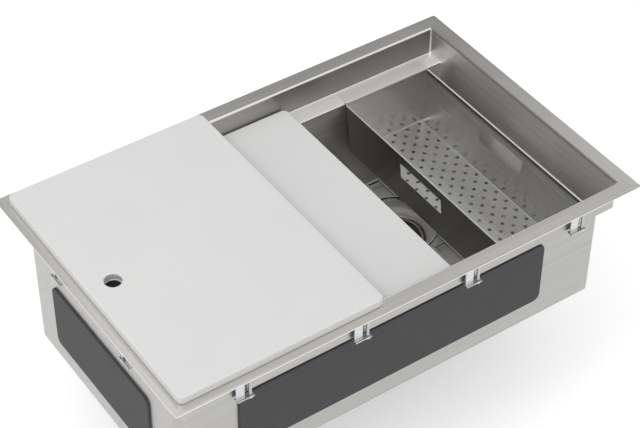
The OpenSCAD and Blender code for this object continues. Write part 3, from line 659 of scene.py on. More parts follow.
def build_board(name, node, centre_x, half_l, half_w, bottom, top, hole=None, hole_r=13.5):
    """A plastic slab: loops of a rounded rectangle down its rounded edge, closed by flat faces.

    With a finger hole the top and bottom run along rays to the hole's circle, whose edge is
    rounded too; without one they are single flat faces.
    """
    sides_y = np.linspace(-half_w + 12, half_w - 12, 15)
    sides_x = np.linspace(-half_l + 12, half_l - 12, 15)
    levels = slab_levels(half_l, half_w, BOARD_CORNER_R, BOARD_EDGE_R, bottom, top)
    loops = [at_level(ring_of(a, b, r, sides_y, sides_x), z) for a, b, r, z in levels]
    sheet = Sheet()
    if hole is None:
        points = np.stack(loops) + np.array([centre_x, 0, 0])
        sheet.grid(points, close_columns=True)
        count = points.shape[1]
        sheet.cap(0, count)
        sheet.cap(sheet.count - count, count)
    else:
        middle = np.array([hole[0] - centre_x, hole[1]])
        reach = loops[0][:, :2] - middle
        ray = reach / np.linalg.norm(reach, axis=1)[:, None]
        inner = []
        for step in np.linspace(np.pi / 2, 0, 6):
            radius = hole_r + HOLE_EDGE_R * (1 - np.cos(step))
            inner.append(at_level(middle + radius * ray, top - HOLE_EDGE_R * (1 - np.sin(step))))
        under = [at_level(loop[:, :2], top + bottom - loop[0, 2]) for loop in inner[::-1]]
        around = middle + (hole_r + 14) * ray
        cycle = [at_level(around, top)] + loops + [at_level(around, bottom)] + under + inner[::-1]
        points = np.stack(cycle) + np.array([centre_x, 0, 0])
        sheet.grid(points, close_rows=True, close_columns=True)
    board = sheet.piece(name, node, [board_plastic], [node], "board_plastic", facing=True)
    keep_flats(board)


build_board("board_on_rim", "upper_board", -227.5, 170.5, 246.5, 0, 15, hole=(-358, 0))
build_board("board_on_ledges", "lower_board", -123.5, 216.0, 231.45, -50, -35)

# ---------------------------------------------------------------- colander

TRAY_X = 272.25
TRAY_T = 1.0
PITCH = 13.0
HOLE_HALF = 3.2
FLAT_X, FLAT_Y = 5.5 * PITCH, 15 * PITCH
TRAY_HALF, TRAY_LEAN, TRAY_FLOOR_Z, LIP_TOP_Z = 84.25, 10.0, -153.5, -49.0
SLOT_LOW, SLOT_HIGH, SLOT_HALF, SLOT_MIDDLE, SLOT_R = -99.0, -69.0, 53.0, -3.5, 1.0


def perforated_floor(sheet):
    """Square tiles one pitch wide; every other one has a round hole in it.

    Each tile has its corners and the middles of its sides on its outline. A tile with a hole
    has eight faces between that outline and a circle of sixteen points.
    """
    columns = np.arange(-5, 6)
    rows = np.arange(-15, 15)
    i, j = [m.ravel() for m in np.meshgrid(columns, rows, indexing="ij")]
    centre = np.stack([i * PITCH, (j + 0.5) * PITCH], -1)
    holed = (i + j) % 2 != 0
    square = np.array([[1, 0], [1, 1], [0, 1], [-1, 1], [-1, 0], [-1, -1], [0, -1], [1, -1]]) * PITCH / 2
    turn = np.arange(16) * np.pi / 8
    circle = HOLE_HALF * np.stack([np.cos(turn), np.sin(turn)], -1)
    tile = np.concatenate([square, circle])
    place = (centre[holed][:, None, :] + tile[None]).reshape(-1, 2) + [TRAY_X, 0]
    one = np.array([[k, (k + 1) % 8, 8 + (2 * k + 2) % 16, 8 + 2 * k + 1, 8 + 2 * k] for k in range(8)])
    count = int(holed.sum())
    faces = (one[None] + 24 * np.arange(count)[:, None, None]).reshape(-1, 5)
    sheet.add(at_level(place, TRAY_FLOOR_Z), faces)
    place = (centre[~holed][:, None, :] + square[None]).reshape(-1, 2) + [TRAY_X, 0]
    sheet.add(at_level(place, TRAY_FLOOR_Z), np.arange(len(place)).reshape(-1, 8))


def build_colander():
    """A folded tray: perforated floor, leaning walls with rounded handle slots, and two lips.

    The walls are loops whose half sizes grow with height by the walls' lean; grid cells inside
    a slot are left out and its corners filled back to a quarter circle.
    """
    sheet = Sheet()
    top_z, floor_z = LIP_TOP_Z, TRAY_FLOOR_Z
    perforated_floor(sheet)
    tile_y = np.arange(-30, 31) * PITCH / 2
    tile_x = np.arange(-11, 12) * PITCH / 2
    slot, slot_r = SLOT_HALF, SLOT_R
    wall_y = tile_y + SLOT_MIDDLE * np.clip(3 - np.abs(tile_y) / 65, 0, 1)
    for tile, to in ((52.0, slot), (45.5, slot - slot_r)):
        wall_y = np.where(np.abs(np.abs(tile_y) - tile) < 0.1, SLOT_MIDDLE + np.sign(tile_y) * to, wall_y)

    def half(z):
        share = (z - floor_z) / (top_z - floor_z)
        return TRAY_HALF - TRAY_T - TRAY_LEAN * (1 - share), 196.45 + 2.0 * share

    slot_low, slot_high = SLOT_LOW, SLOT_HIGH
    heights = [-151.0, -142, -132, -121, -110, slot_low, slot_low + slot_r, slot_high - slot_r, slot_high,
               -65.5, -62, -56, -51.0, top_z]
    loops = [at_level(ring_of(FLAT_X, FLAT_Y, 1e-6, tile_y, tile_x), floor_z)]
    for share_in, share_up in ((0.38, 0.08), (0.7, 0.3), (0.92, 0.62)):
        a, b = half(-151.0)
        loops.append(at_level(ring_of(FLAT_X + (a - FLAT_X) * share_in, FLAT_Y + (b - FLAT_Y) * share_in,
                                      2.4 * share_in, tile_y, tile_x), floor_z + 2.5 * share_up))
    for z in heights:
        a, b = half(z)
        r = 2.5
        y = wall_y * np.where(np.abs(wall_y) > FLAT_Y - 0.1, (b - r) / FLAT_Y, 1.0)
        x = tile_x * (a - r) / FLAT_X
        loops.append(at_level(ring_of(a, b, r, y, x), z))
    points = np.stack(loops) + np.array([TRAY_X, 0, 0])
    rows, columns = points.shape[:2]
    quads = band_quads(rows, columns, close_columns=True)
    row_of = np.repeat(np.arange(rows - 1), columns)
    flat = points.reshape(-1, 3)
    centre = flat[quads].mean(1)
    on_long_wall = (np.abs(centre[:, 0] - TRAY_X) > 70) & (np.abs(centre[:, 1]) < 190)
    first = 4 + heights.index(slot_low)
    in_slot = on_long_wall & (row_of >= first) & (row_of < first + 3)
    in_slot &= np.abs(centre[:, 1] - SLOT_MIDDLE) < slot
    near_middle = np.abs(centre[:, 0] - TRAY_X) < TRAY_HALF - 3.5
    under_lip = (np.abs(centre[:, 1]) > 197.5) & (centre[:, 2] > top_z - 2) & near_middle
    sheet.add(flat, quads[~in_slot & ~under_lip])
    for side in (1, -1):
        for z_edge, z_in in ((slot_low, slot_low + slot_r), (slot_high, slot_high - slot_r)):
            for end in (1, -1):
                bend = np.linspace(0, np.pi / 2, 6)
                y = SLOT_MIDDLE + end * (slot - slot_r + slot_r * np.sin(bend))
                z = z_in + (z_edge - z_in) * np.cos(bend)
                y, z = np.append(y, SLOT_MIDDLE + end * slot), np.append(z, z_edge)
                x = TRAY_X + side * half(z)[0]
                ring = np.stack([x, y, z], -1)
                fan = np.array([[6, k, k + 1] for k in range(5)])
                out = np.cross(ring[0] - ring[6], ring[1] - ring[6])[0]
                sheet.add(ring, fan[:, ::-1] if out * side > 0 else fan)
    for end in (1, -1):
        a, b = half(top_z - 2.0)
        x = tile_x / FLAT_X
        profile = [(p[0], p[1]) for p in fold((b, top_z - 2.0), (b + 2.5, top_z), "z")]
        lip_end = 223.45
        widths = [a - 2.5] * len(profile)
        for y_out in (203.5, 210.0, lip_end - 8):
            profile.append((y_out, top_z))
            widths.append(TRAY_HALF - 0.4)
        for step in np.linspace(0, np.pi / 2, 6)[1:]:
            profile.append((lip_end - 8 + 8 * np.sin(step), top_z))
            widths.append(TRAY_HALF - 8.4 + 8 * np.cos(step))
        lip = np.stack([np.stack([TRAY_X + x * w, np.full_like(x, end * y), np.full_like(x, z)], -1)
                        for (y, z), w in zip(profile, widths)])
        sheet.grid(lip, flip=end > 0)
    finishes = [tray_steel_y, tray_steel_x, black_painted_shade, lip_steel, tray_outside_paint, tray_bend_shade_paint]
    tray = sheet.piece("colander_tray", "colander", finishes, ["colander"], "colander_steel", merge=0.02)
    thicken(tray, TRAY_T)
    ink_by_direction(tray)


def ink_by_direction(tray):
    """Faces that look along Y get the second finish; the walls of the small holes the third, near black, a
    painted shade; the lips and the outside towards the end wall the fourth, a brighter copy, painted light;
    the rest of the outside the fifth, a dark copy, a painted shade; and the bends of the corners and lips the
    last, darker, a painted shade."""
    looks, middle = per_face(tray, "normal"), per_face(tray, "center") / MM
    area = per_face(tray, "area", 1)[:, 0]
    normal = np.abs(looks)
    ink = (normal[:, 1] > 0.7).astype(np.int32)
    outside = np.abs(middle[:, 0] - TRAY_X) > 71
    ink[outside & (looks[:, 0] > 0.7) & (middle[:, 0] > TRAY_X)] = 3
    ink[(outside & (looks[:, 0] < -0.7) & (middle[:, 0] < TRAY_X)) | (looks[:, 2] < -0.7)] = 4
    in_hole = (normal[:, 2] < 0.1) & (middle[:, 2] < TRAY_FLOOR_Z - 0.2) & (area < 3e-6)
    ink[in_hole & (np.abs(middle[:, 0] - TRAY_X) < 71) & (np.abs(middle[:, 1]) < 194)] = 2
    ink[middle[:, 2] > -50.2] = 3
    bent = (normal[:, 0] > 0.2) & (normal[:, 1] > 0.2)
    ink[bent | ((normal[:, 1] > 0.2) & (normal[:, 2] > 0.2) & (middle[:, 2] > -53))] = 5
    tray.data.polygons.foreach_set("material_index", ink)


def build_hems():
    """A second sheet folded down inside both long walls: a closed section, round at the top,
    drawn along the wall's slope and carried from end to end."""
    lean = np.array([TRAY_LEAN, LIP_TOP_Z - TRAY_FLOOR_Z])
    lean = lean / np.hypot(*lean)
    inward = np.array([-lean[1], lean[0]])
    section = round_corners([[0.2, -0.2], [2.9, -0.2], [2.9, -2.4], [2.0, -3.4], [2.0, -19.0], [0.9, -19.0],
                             [0.9, -1.2], [0.2, -1.2]], [0.6, 1.1, 0.5, 0.4, 0.8, 0.1, 0.1, 0.1])
    sheet = Sheet()
    for side in (1, -1):
        place = np.array([TRAY_HALF, LIP_TOP_Z]) + section[:, :1] * inward + section[:, 1:] * lean
        y = np.linspace(-197.6, 197.6, 9)
        x = np.broadcast_to(TRAY_X + side * place[:, 0], (9, len(place)))
        z = np.broadcast_to(place[:, 1], (9, len(place)))
        points = np.stack([x, np.broadcast_to(y[:, None], x.shape), z], -1)
        quads = band_quads(9, len(place), close_columns=True)
        height = (section[quads[:, 0] % len(place), 1] + section[quads[:, 3] % len(place), 1]) / 2
        inner = section[quads[:, 0] % len(place), 0] > 1.9
        # Painted light on the hem: the strip under the bead's inside is near black, a painted shade; the
        # lower edge and, on the right hem, the bead's top take the near-white bend finish, a painted
        # highlight; the left hem's top takes the plain steel.
        ink = np.where(inner & (height < -1.2) & (height > -4.2), 2, 0)
        ink[(height > -1.2) | (height < -18.5)] = 1
        if side < 0:
            ink[height > -1.2] = 3
        first = sheet.count
        sheet.add(points, quads, ink)
        sheet.cap(first, len(place))
        sheet.cap(sheet.count - len(place), len(place))
    finishes = [hem_steel, bend_highlight_paint, black_painted_shade, tray_steel_y]
    hems = sheet.piece("colander_hems", "colander", finishes, (), "colander_steel", facing=True)
    keep_flats(hems)


build_colander()
build_hems()

# ---------------------------------------------------------------- bottom grid

GRID_Z, CROSS_Z, RING_Z = -232.5, -236.0, -228.5
GRID_X, GRID_Y, GRID_CORNER = 368.35, 182.95, 28.0
RING_R = 69.0


def paint_underside_shade(piece):
    """Faces of a wire that look sideways or down get the second finish, near black: a painted shade."""
    below = per_face(piece, "normal")[:, 2] < 0.6
    piece.data.polygons.foreach_set("material_index", below.astype(np.int32))


def wire_piece(sheet, name, node):
    """A piece of the grid with a near-white top and a near-black underside: painted highlight and painted
    shade.
    """
    paint_underside_shade(sheet.piece(name, "grid", [wire_steel, wire_shade_paint], [node], "grid_steel", facing=True))


def cut_at_ring(off, middle, end):
    """A line from -end to end, open where it would cross the ring; off is how far it misses the axis."""
    if abs(off) >= RING_R:
        return [(-end, end)]
    chord = np.sqrt(RING_R ** 2 - off ** 2)
    return [(-end, middle - chord), (middle + chord, end)]


def build_grid():
    """Wires: a closed loop with quarter bends, straight wires each way cut at the ring, and the ring.

    A wire at distance d from the ring's axis stops where a chord at d meets the circle.
    """
    frame_wire = Sheet()
    outline = ring_of(GRID_X, GRID_Y, GRID_CORNER, np.linspace(-100, 100, 3), np.linspace(-300, 300, 7), 10)
    outer_wire = tube(at_level(outline, GRID_Z), 3.0, 16, closed=True)
    frame_wire.grid(outer_wire, close_rows=True, close_columns=True)
    wire_piece(frame_wire, "grid_loop", "grid_frame")
    wires = Sheet()
    for x in np.arange(-14, 15) * 25.0:
        past_bend = max(0.0, abs(x) - GRID_X + GRID_CORNER)
        end = GRID_Y - GRID_CORNER + np.sqrt(GRID_CORNER ** 2 - past_bend ** 2)
        for y_from, y_to in cut_at_ring(x - DRAIN[0], DRAIN[1], end):
            line = np.linspace((x, y_from, GRID_Z), (x, y_to, GRID_Z), 6)
            wires.grid(tube(line, 2.0, 12), close_columns=True)
    wire_piece(wires, "grid_long_wires", "grid_wires")
    across = Sheet()
    for y in (-120.0, 0.0, 120.0):
        for x_from, x_to in cut_at_ring(y - DRAIN[1], DRAIN[0], GRID_X):
            line = np.linspace((x_from, y, CROSS_Z), (x_to, y, CROSS_Z), 6)
            across.grid(tube(line, 2.0, 12), close_columns=True)
    wire_piece(across, "grid_under_wires", "grid_cross_wires")
    ring = Sheet()
    turn = np.arange(96) * 2 * np.pi / 96
    loop = DRAIN + RING_R * np.stack([np.cos(turn), np.sin(turn)], -1)
    ring.grid(tube(at_level(loop, RING_Z), 2.5, 16, closed=True), close_rows=True, close_columns=True)
    wire_piece(ring, "grid_ring", "grid_drain_ring")


build_grid()

# ---------------------------------------------------------------- waste fittings, turned round the drain

TAIL_END_Z = -428.6


def thread(r, z_from, z_to, depth=0.45, pitch=2.0):
    """Rings that stand for a thread: crests and roots down or up a wall at radius r.

    A negative depth cuts outwards.
    """
    z = np.arange(z_from, z_to, np.sign(z_to - z_from) * pitch / 2)
    return np.stack([r - depth * (np.arange(len(z)) % 2), z], -1).tolist()


def turned_section(*parts, soft=0.4):
    """One closed outline of several runs of points, its corners rounded a little."""
    return round_corners(np.concatenate([np.asarray(part, float) for part in parts]), soft, 3)


def box_outline(low, high, hole, count=32):
    """A rectangle's outline seen from a hole in it: points at equal turns and at its corners.

    A ray meets the rectangle at the nearer of its two crossings with a side along x and one along y.
    """
    low, high, hole = (np.asarray(corner, float) for corner in (low, high, hole))
    corner = np.array([high, (low[0], high[1]), low, (high[0], low[1])]) - hole
    turn = np.append(np.arange(count) * 2 * np.pi / count + 0.01, np.arctan2(corner[:, 1], corner[:, 0]))
    turn = np.sort(turn % (2 * np.pi))
    ray = np.stack([np.cos(turn), np.sin(turn)], -1)
    reach = np.where(ray > 0, (high - hole) / ray, (low - hole) / ray)
    return hole + ray * reach.min(axis=1, keepdims=True)


def holed_plate(outline, hole, hole_r, low, high, edge=0.3):
    """A flat plate with a round hole: loops over its top, down its side, under it and up the hole."""
    reach = outline - hole
    ray = reach / np.linalg.norm(reach, axis=1, keepdims=True)
    drawn_in = outline - edge * ray
    bore, mouth = hole + hole_r * ray, hole + (hole_r + edge) * ray
    levels = [(drawn_in, high), (outline, high - edge), (outline, low + edge), (drawn_in, low),
              (mouth, low), (bore, low + edge), (bore, high - edge), (mouth, high)]
    return np.stack([at_level(loop, z) for loop, z in levels])


def build_strainer():
    """The strainer: a stepped flange and bead, a cup and an outlet with threads, and the post's guide."""
    sheet = Sheet()
    flange = [(42.5, -305.5), (42.5, -257.2), (43.9, -254.9), (46.0, -254.9), (47.4, -256.3), (50.4, -256.3),
              (51.6, -255.1), (54.4, -255.1), (57.0, -256.3), (57.0, -257.0), (44.0, -257.0)]
    body = turned_section(flange, thread(44.0, -259.0, -306.0), [(44.0, -307.0), (22.5, -307.0)],
                          thread(22.5, -309.0, -324.5), [(22.5, -325.0), (19.5, -325.0), (19.5, -305.5)])
    sheet.grid(lathe(body), close_rows=True, close_columns=True)
    outline = box_outline((-20, -4.5), (20, 4.5), (0, 0))
    bar = holed_plate(outline, np.zeros(2), 3.3, -307.0, -305.5) + np.append(DRAIN, 0)
    sheet.grid(bar, close_rows=True, close_columns=True)
    finishes = [strainer_metal, flange_highlight_paint]
    piece = sheet.piece("strainer", "sink", finishes, ["strainer_body"], "strainer_steel", facing=True)
    middle = per_face(piece, "center") / MM
    r = np.hypot(middle[:, 0] - DRAIN[0], middle[:, 1] - DRAIN[1])
    # The flange top's outer ring and bead are painted bright: a painted highlight.
    lit = (middle[:, 2] > -257.1) & ((r > 52.5) | (np.abs(r - 45) < 1.4))
    piece.data.polygons.foreach_set("material_index", lit.astype(np.int32))
    keep_flats(piece)


def build_nut(name, node, material, outer, bore, slot):
    """A nut: outlines by angle stacked from its top to its bottom, then back up its threaded bore.

    outer gives the outline's levels as (radii at equal turns, z) and bore the hole's as (radius, z).
    """
    count = len(outer[0][0])
    turn = np.arange(count) * 2 * np.pi / count
    ray = np.stack([np.cos(turn), np.sin(turn)], -1)
    loops = [at_level(DRAIN + radii[:, None] * ray, z) for radii, z in outer]
    loops += [at_level(DRAIN + r * ray, z) for r, z in bore]
    sheet = Sheet()
    sheet.grid(np.stack(loops), close_rows=True, close_columns=True)
    piece = sheet.piece(name, "sink", [material], [node], slot, facing=True)
    keep_flats(piece)


def build_lock_nut():
    """A thin ring with eight lugs: the radius rises from 52 to 56 mm over each lug's width."""
    turn = np.arange(360) * np.pi / 180
    off = np.abs((turn + np.pi / 8) % (np.pi / 4) - np.pi / 8)
    radii = 52 + 4 * np.clip((np.radians(5.0) - off) / np.radians(1.2), 0, 1)
    outer = [(radii - 0.8, -263.5), (radii - 0.2, -263.75), (radii, -264.3), (radii, -272.7),
             (radii - 0.2, -273.25), (radii - 0.8, -273.5)]
    bore = [(45.0, -273.5)] + thread(44.3, -273.0, -264.0, -0.4) + [(45.0, -263.5)]
    build_nut("lock_nut_turned", "lock_nut", nut_metal, outer, bore, "strainer_steel")


def build_slip_nut():
    """An octagon: the radius is the side's distance over the cosine of the turn from its middle.

    The corners are cut back by a cone at both ends, and a lip at the bottom holds the tailpiece.
    """
    turn = np.arange(192) * np.pi / 96
    radii = np.minimum(27.716 / np.cos(turn % (np.pi / 4) - np.pi / 8), 29.7)
    outer = [(np.minimum(radii, 27.4), -313.0), (np.minimum(radii, 28.6), -314.0), (radii, -315.0),
             (radii, -329.5), (np.minimum(radii, 28.6), -330.5), (np.minimum(radii, 27.4), -331.5)]
    bore = [(20.0, -331.5), (19.35, -330.9), (19.35, -328.5)]
    bore += thread(22.8, -328.5, -314.0, -0.4) + [(23.4, -313.0)]
    build_nut("slip_nut_turned", "slip_nut", chrome, outer, bore, "tail_chrome")


def build_waste():
    """Everything that is turned round the drain's axis: section corners as radius and height."""
    build_strainer()
    build_lock_nut()
    build_slip_nut()
    gasket = turned_section([(44.3, -258.5), (57, -258.5), (57, -262.5), (44.3, -262.5)], soft=1.0)
    turned_piece("gasket", "sink", black_rubber, [gasket], ["strainer_gasket"], "gasket_rubber")
    washer = turned_section([(44.3, -262.5), (57, -262.5), (57, -263.5), (44.3, -263.5)], soft=0.25)
    turned_piece("fibre_washer", "sink", fibre, [washer], ["friction_ring"], "ring_fibre")
    cone = turned_section([(19.5, -325), (22, -325), (22, -327), (19.5, -327)], soft=0.5)
    turned_piece("outlet_washer", "sink", nylon, [cone], ["tail_washer"], "washer_nylon")
    tail = turned_section([(17.85, -327), (22, -327), (22, -328.5), (18.85, -328.5), (18.85, -332.5),
                           (19.05, -333.2), (19.05, TAIL_END_Z), (17.85, TAIL_END_Z)], soft=0.5)
    turned_piece("tailpiece_drawn", "sink", chrome, [tail], ["tailpiece"], "tail_chrome")
    post = round_corners([(0, -313.5), (3, -313.5), (3, -300.5), (6, -300.5), (6, -297.5), (3, -297.5),
                          (3, -271.5), (0, -271.5)], [0, 1, 0.1, 0.5, 0.5, 0.8, 0.1, 0], 3)
    turned_piece("basket_stem", "basket", basket_metal, [post], ["basket_post"], "basket_steel", 48)
    knob = round_corners([(0, -271.5), (3, -271.5), (13, -268.5), (13, -265.5), (11, -263.5), (8, -263.5),
                          (6.5, -264.4), (0, -264.4)], [0, 0.1, 0.8, 0.8, 0.8, 0.6, 0.6, 0], 3)
    turned_piece("basket_pull", "basket", basket_metal, [knob], ["basket_knob"], "basket_steel", 64)
    seal = round_corners([(3.1, -301.5), (30, -301.5), (30, -305.5), (26, -305.5), (25, -304.7), (23, -304.7),
                          (22, -305.5), (3.1, -305.5)], [0.3, 1.4, 1.4, 0.4, 0.4, 0.4, 0.4, 0.3], 4)
    turned_piece("basket_washer", "basket", black_rubber, [seal], ["basket_seal"], "seal_rubber")


build_waste()

# ---------------------------------------------------------------- rubber feet, sleeves and pads


def spun(sheet, profile, places, axis="z", segments=32):
    """A section turned round an axis through each place: local height runs along that axis."""
    shape = lathe(profile, (0, 0), segments)
    order = {"z": (0, 1, 2), "x": (2, 0, 1), "y": (1, 2, 0)}[axis]
    for place in places:
        sheet.grid(shape[..., order] + np.asarray(place, float), close_rows=True, close_columns=True)


def build_rubbers():
    """The grid's pegs, feet and sleeves: small turned sections set at their places."""
    spots = [(x, y, 0) for x in (-323.35, 0, 323.35) for y in (-GRID_Y, GRID_Y)]
    foot = round_corners([(0, -252.5), (7, -252.5), (7, -235.5), (2.5, -235.5), (2.5, -246.5), (0, -246.5)],
                         [0, 2.2, 1.2, 0.3, 0.1, 0], 4)
    feet = Sheet()
    spun(feet, foot, spots)
    feet.piece("grid_rubber_feet", "grid", [black_rubber], ["grid_feet"], "foot_rubber", facing=True)
    peg = round_corners([(0, -246.5), (2.5, -246.5), (2.5, -232.5), (0, -232.5)], [0, 0.6, 0.3, 0], 3)
    pegs = Sheet()
    spun(pegs, peg, spots, segments=20)
    pegs.piece("grid_studs", "grid", [wire_steel], ["grid_pegs"], "grid_steel", facing=True)
    sleeve = round_corners([(3, -9.5), (6, -9.5), (6, -1), (5.6, 0), (6, 1), (6, 9.5), (3, 9.5)],
                           [0.2, 1.6, 0.5, 0.5, 0.5, 1.6, 0.2], 4)
    sleeves = Sheet()
    spun(sleeves, sleeve, [(x, y, GRID_Z) for x in (-112.5, 112.5) for y in (-GRID_Y, GRID_Y)], "x")
    spun(sleeves, sleeve, [(x, y, GRID_Z) for x in (-GRID_X, GRID_X) for y in (-60, 60)], "y")
    sleeves.piece("grid_sleeves", "grid", [black_rubber], ["grid_bumpers"], "foot_rubber", facing=True)


build_rubbers()


def build_pad(node, half_l, half_w, place, axes):
    """A rubber sheet on the steel: loops of a rounded rectangle through its thickness.

    axes are the directions of its length, its width and its outside; the outer edge is soft.
    """
    side_l, side_w = np.linspace(-half_l, half_l, 9), np.linspace(-half_w, half_w, 5)
    levels = [(0.0, 0.0), (0.0, 2.6), (0.2, 3.3), (0.7, 3.8), (1.4, 4.0)]
    loops = [at_level(ring_of(half_l - d, half_w - d, 12.0 - d, side_w, side_l), h) for d, h in levels]
    points = np.stack(loops) @ np.array(axes, float) + np.array(place, float)
    sheet = Sheet()
    sheet.grid(points, close_columns=True)
    count = points.shape[1]
    sheet.cap(0, count)
    sheet.cap(sheet.count - count, count)
    pad = sheet.piece(node + "_rubber", "sink", [pad_rubber], [node], "sound_pad", facing=True)
    keep_flats(pad)


X, Y, Z = np.eye(3)
build_pad("sound_pad_front", 280, 60, (0, -202.45, -152), (X, Z, -Y))
build_pad("sound_pad_back", 280, 60, (0, 202.45, -152), (X, Z, Y))
build_pad("sound_pad_left", 140, 60, (-387.85, 0, -152), (Y, Z, -X))
build_pad("sound_pad_right", 140, 60, (387.85, 0, -152), (Y, Z, X))
build_pad("sound_pad_floor_left", 240.425, 180.95, (-125.925, 0, -254), (X, Y, -Z))
build_pad("sound_pad_floor_right", 123.425, 81.225, (242.925, -99.725, -254), (X, Y, -Z))

# ---------------------------------------------------------------- channels, clips and screws


def drawn_bar(sheet, section, start, end, place, turned=False):
    """A section of width and height drawn along X from start to end past place, or along Y if turned."""
    s, a = np.broadcast_arrays(np.linspace(start, end, 3)[:, None], section[None, :, 0])
    z = np.broadcast_to(section[None, :, 1], s.shape)
    x, y = (place[0] - a, place[1] + s) if turned else (place[0] + s, place[1] + a)
    count = len(section)
    first = sheet.count
    sheet.grid(np.stack([x, y, z], -1), close_columns=True)
    sheet.cap(first, count)
    sheet.cap(first + 2 * count, count)


def set_down(points, place, turned):
    """Moves local points to a clip's place, turned a quarter turn on the end channels."""
    x, y, z = np.moveaxis(np.asarray(points, float), -1, 0)
    if turned:
        x, y = -y, x
    return np.stack([x + place[0], y + place[1], z], -1)


CHANNEL_X, CHANNEL_Y = 394.35, 241.95
CLIPS = [((x, y), False) for x in (-300, -100, 100, 300) for y in (-CHANNEL_Y, CHANNEL_Y)]
CLIPS += [((x, y), True) for x in (-CHANNEL_X, CHANNEL_X) for y in (-100, 100)]


def build_channels():
    """Folded channels: a box section with soft bends, open downwards between two lips."""
    half = [(5.5, -1.5), (5.5, -9.5), (1.8, -9.5), (1.8, -8.3), (4.3, -8.3), (4.3, -2.7)]
    section = round_corners(half + [(-a, z) for a, z in half[::-1]],
                            [1.6, 1.6, 0.4, 0.4, 0.5, 0.5, 0.5, 0.5, 0.4, 0.4, 1.6, 1.6], 3)
    sheet = Sheet()
    for side in (-1, 1):
        drawn_bar(sheet, section, -350, 350, (0, side * CHANNEL_Y))
        drawn_bar(sheet, section, -200, 200, (side * CHANNEL_X, 0), turned=True)
    keep_flats(sheet.piece("clip_channels", "sink", [galvanised], ["clip_rails"], "rail_steel", facing=True))


def build_clips():
    """Pressed clips: head, stem and foot as one drawn section, and the toe as a plate with a hole."""
    half = [(4, -6.3), (4, -8.3), (1, -8.3), (1, -49.5), (5, -49.5), (5, -51.5)]
    section = round_corners(half + [(-a, z) for a, z in half[::-1]],
                            [0.7, 0.7, 1.2, 1.6, 0.5, 0.7, 0.7, 0.5, 1.6, 1.2, 0.7, 0.7], 3)
    outline = box_outline((6.8, -5), (21, 5), (16.5, 0))
    toe = holed_plate(outline, np.array([16.5, 0.0]), 2.6, -51.5, -49.5, 0.4)
    sheet = Sheet()
    for place, turned in CLIPS:
        drawn_bar(sheet, section, -7, 7, place, turned)
        sheet.grid(set_down(toe, place, turned), close_rows=True, close_columns=True)
    keep_flats(sheet.piece("clips_pressed", "sink", [galvanised], ["rim_clips"], "clip_steel", facing=True))


def build_screws():
    """Ringed shanks under round heads; below each head two D-shaped halves leave the slot between."""
    shank = round_corners([(0, -13.5), (1.7, -13.5), (2.4, -14.4)] + thread(2.5, -15.0, -50.0, 0.4, 1.0)
                          + [(2.5, -51.5), (4.5, -51.5), (4.5, -53.3), (0, -53.3)], 0.1, 1)
    post = lathe(shank, (16.5, 0), 20)
    halves = []
    for side in (-1, 1):
        loops = []
        for r, z in ((4.5, -53.2), (4.5, -53.8), (4.2, -54.3), (3.4, -54.5)):
            start = np.arcsin(0.6 / r)
            turn = np.linspace(start, np.pi - start, 13)
            loops.append(at_level(np.stack([16.5 + r * np.cos(turn), side * r * np.sin(turn)], -1), z))
        halves.append(np.stack(loops))
    sheet = Sheet()
    for place, turned in CLIPS:
        sheet.grid(set_down(post, place, turned), close_rows=True, close_columns=True)
        for half in halves:
            first = sheet.count
            sheet.grid(set_down(half, place, turned), close_columns=True)
            sheet.cap(first, 13)
            sheet.cap(first + 39, 13)
    sheet.piece("screws_threaded", "sink", [galvanised], ["clip_screws"], "clip_steel", facing=True)


build_channels()
build_clips()
build_screws()

# ---------------------------------------------------------------- finish of the CAD's own basket

cup = NODE["basket_cup"]
if not cup.material_slots:
    cup.data.materials.append(basket_metal)
for held in cup.material_slots:
    held.material = basket_metal

# ---------------------------------------------------------------- stage

SKY_FRONT, SKY_TOP, SKY_BACK = 1.0, 0.60, 0.27
LAMPS = (("overhead", (-0.25, -0.05, 2.6), 1.6, 10), ("over_left", (-1.7, -0.3, 2.45), 0.9, 22),
         ("behind", (0.5, 2.25, 2.5), 1.3, 1.2))
SLOPE_END = 2.0


def pale_floor():
    """White floor: a matt white that the camera sees as white where light falls and grey in shade."""
    finish = Finish("floor_white", (0.9, 0.9, 0.9), 0.9)
    path = finish.nodes.new("ShaderNodeLightPath")
    seen = finish.maths("MAXIMUM", path.outputs["Is Camera Ray"], path.outputs["Is Glossy Ray"])
    seen = finish.maths("MAXIMUM", seen, path.outputs["Is Transmission Ray"])
    finish.shader.inputs["Emission Color"].default_value = (1, 1, 1, 1)
    finish.links.new(finish.maths("MULTIPLY", seen, 0.35), finish.shader.inputs["Emission Strength"])
    return finish.material


def lay_floor(z, half=9.0):
    """A square floor at height z, in metres, with no edge in view."""
    mesh = bpy.data.meshes.new("floor")
    corners = [(-half, -half, z), (half, -half, z), (half, half, z), (-half, half, z)]
    mesh.from_pydata(corners, [], [(0, 1, 2, 3)])
    mesh.materials.append(pale_floor())
    floor = bpy.data.objects.new("floor", mesh)
    bpy.context.scene.collection.objects.link(floor)


lay_floor(TAIL_END_Z * MM)


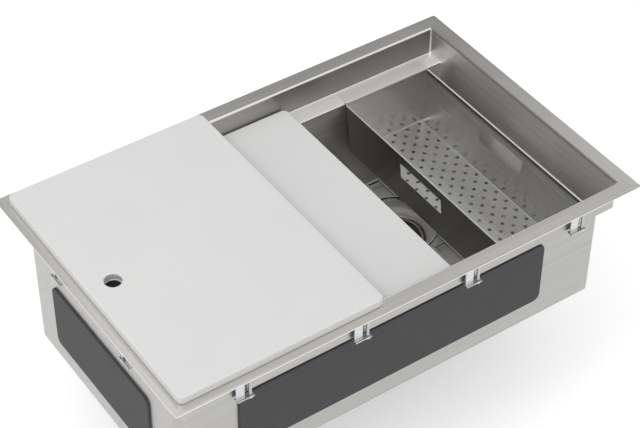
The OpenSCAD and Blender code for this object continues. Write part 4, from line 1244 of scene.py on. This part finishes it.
def studio_light():
    """A soft sky round the object.

    The sky's strength is a ramp over y / z of its direction: a bright soft box towards the
    front, a plain one overhead, and a dimmer gap behind it; low down it is pale all round.
    """
    world = bpy.data.worlds.new("studio")
    bpy.context.scene.world = world
    world.use_nodes = True
    nodes, links = world.node_tree.nodes, world.node_tree.links
    shade = nodes["Background"]
    place = nodes.new("ShaderNodeTexCoord")
    split = nodes.new("ShaderNodeSeparateXYZ")
    links.new(place.outputs["Generated"], split.inputs[0])
    high = nodes.new("ShaderNodeMath")
    high.operation = "MAXIMUM"
    links.new(split.outputs["Z"], high.inputs[0])
    high.inputs[1].default_value = 0.05
    ratio = nodes.new("ShaderNodeMath")
    ratio.operation = "DIVIDE"
    links.new(split.outputs["Y"], ratio.inputs[0])
    links.new(high.outputs[0], ratio.inputs[1])
    spot = nodes.new("ShaderNodeMapRange")
    spot.inputs["From Min"].default_value = -SLOPE_END
    spot.inputs["From Max"].default_value = SLOPE_END
    links.new(ratio.outputs[0], spot.inputs["Value"])
    ramp = nodes.new("ShaderNodeValToRGB")
    ramp.color_ramp.interpolation = "LINEAR"
    stops = ((-SLOPE_END, 0.5), (-1.3, SKY_FRONT), (-0.5, SKY_FRONT), (-0.1, SKY_TOP), (0.88, SKY_TOP),
             (0.95, SKY_BACK), (SLOPE_END, SKY_BACK))
    while len(ramp.color_ramp.elements) < len(stops):
        ramp.color_ramp.elements.new(0.5)
    for element, (where, value) in zip(ramp.color_ramp.elements, stops):
        element.position = (where + SLOPE_END) / (2 * SLOPE_END)
        element.color = (value, value, value, 1)
    links.new(spot.outputs["Result"], ramp.inputs["Fac"])
    low = nodes.new("ShaderNodeMapRange")
    low.interpolation_type = "SMOOTHSTEP"
    low.inputs["From Min"].default_value = 0.22
    low.inputs["From Max"].default_value = 0.42
    links.new(split.outputs["Z"], low.inputs["Value"])
    pale = nodes.new("ShaderNodeMix")
    pale.data_type = "RGBA"
    pale.inputs["A"].default_value = (1.0, 1.0, 1.0, 1)
    links.new(low.outputs["Result"], pale.inputs["Factor"])
    links.new(ramp.outputs["Color"], pale.inputs["B"])
    links.new(pale.outputs["Result"], shade.inputs["Color"])
    shade.inputs["Strength"].default_value = 1.0


def soft_box(name, place, size, power):
    """A square lamp that looks at the middle of the rim."""
    lamp = bpy.data.lights.new(name, "AREA")
    lamp.shape = "SQUARE"
    lamp.size = size
    lamp.energy = power
    holder = bpy.data.objects.new(name, lamp)
    bpy.context.scene.collection.objects.link(holder)
    holder.location = place
    holder.rotation_euler = Vector(place).to_track_quat("Z", "Y").to_euler()


studio_light()
for lamp in LAMPS:
    soft_box(*lamp)
bpy.context.scene.view_settings.view_transform = "Standard"
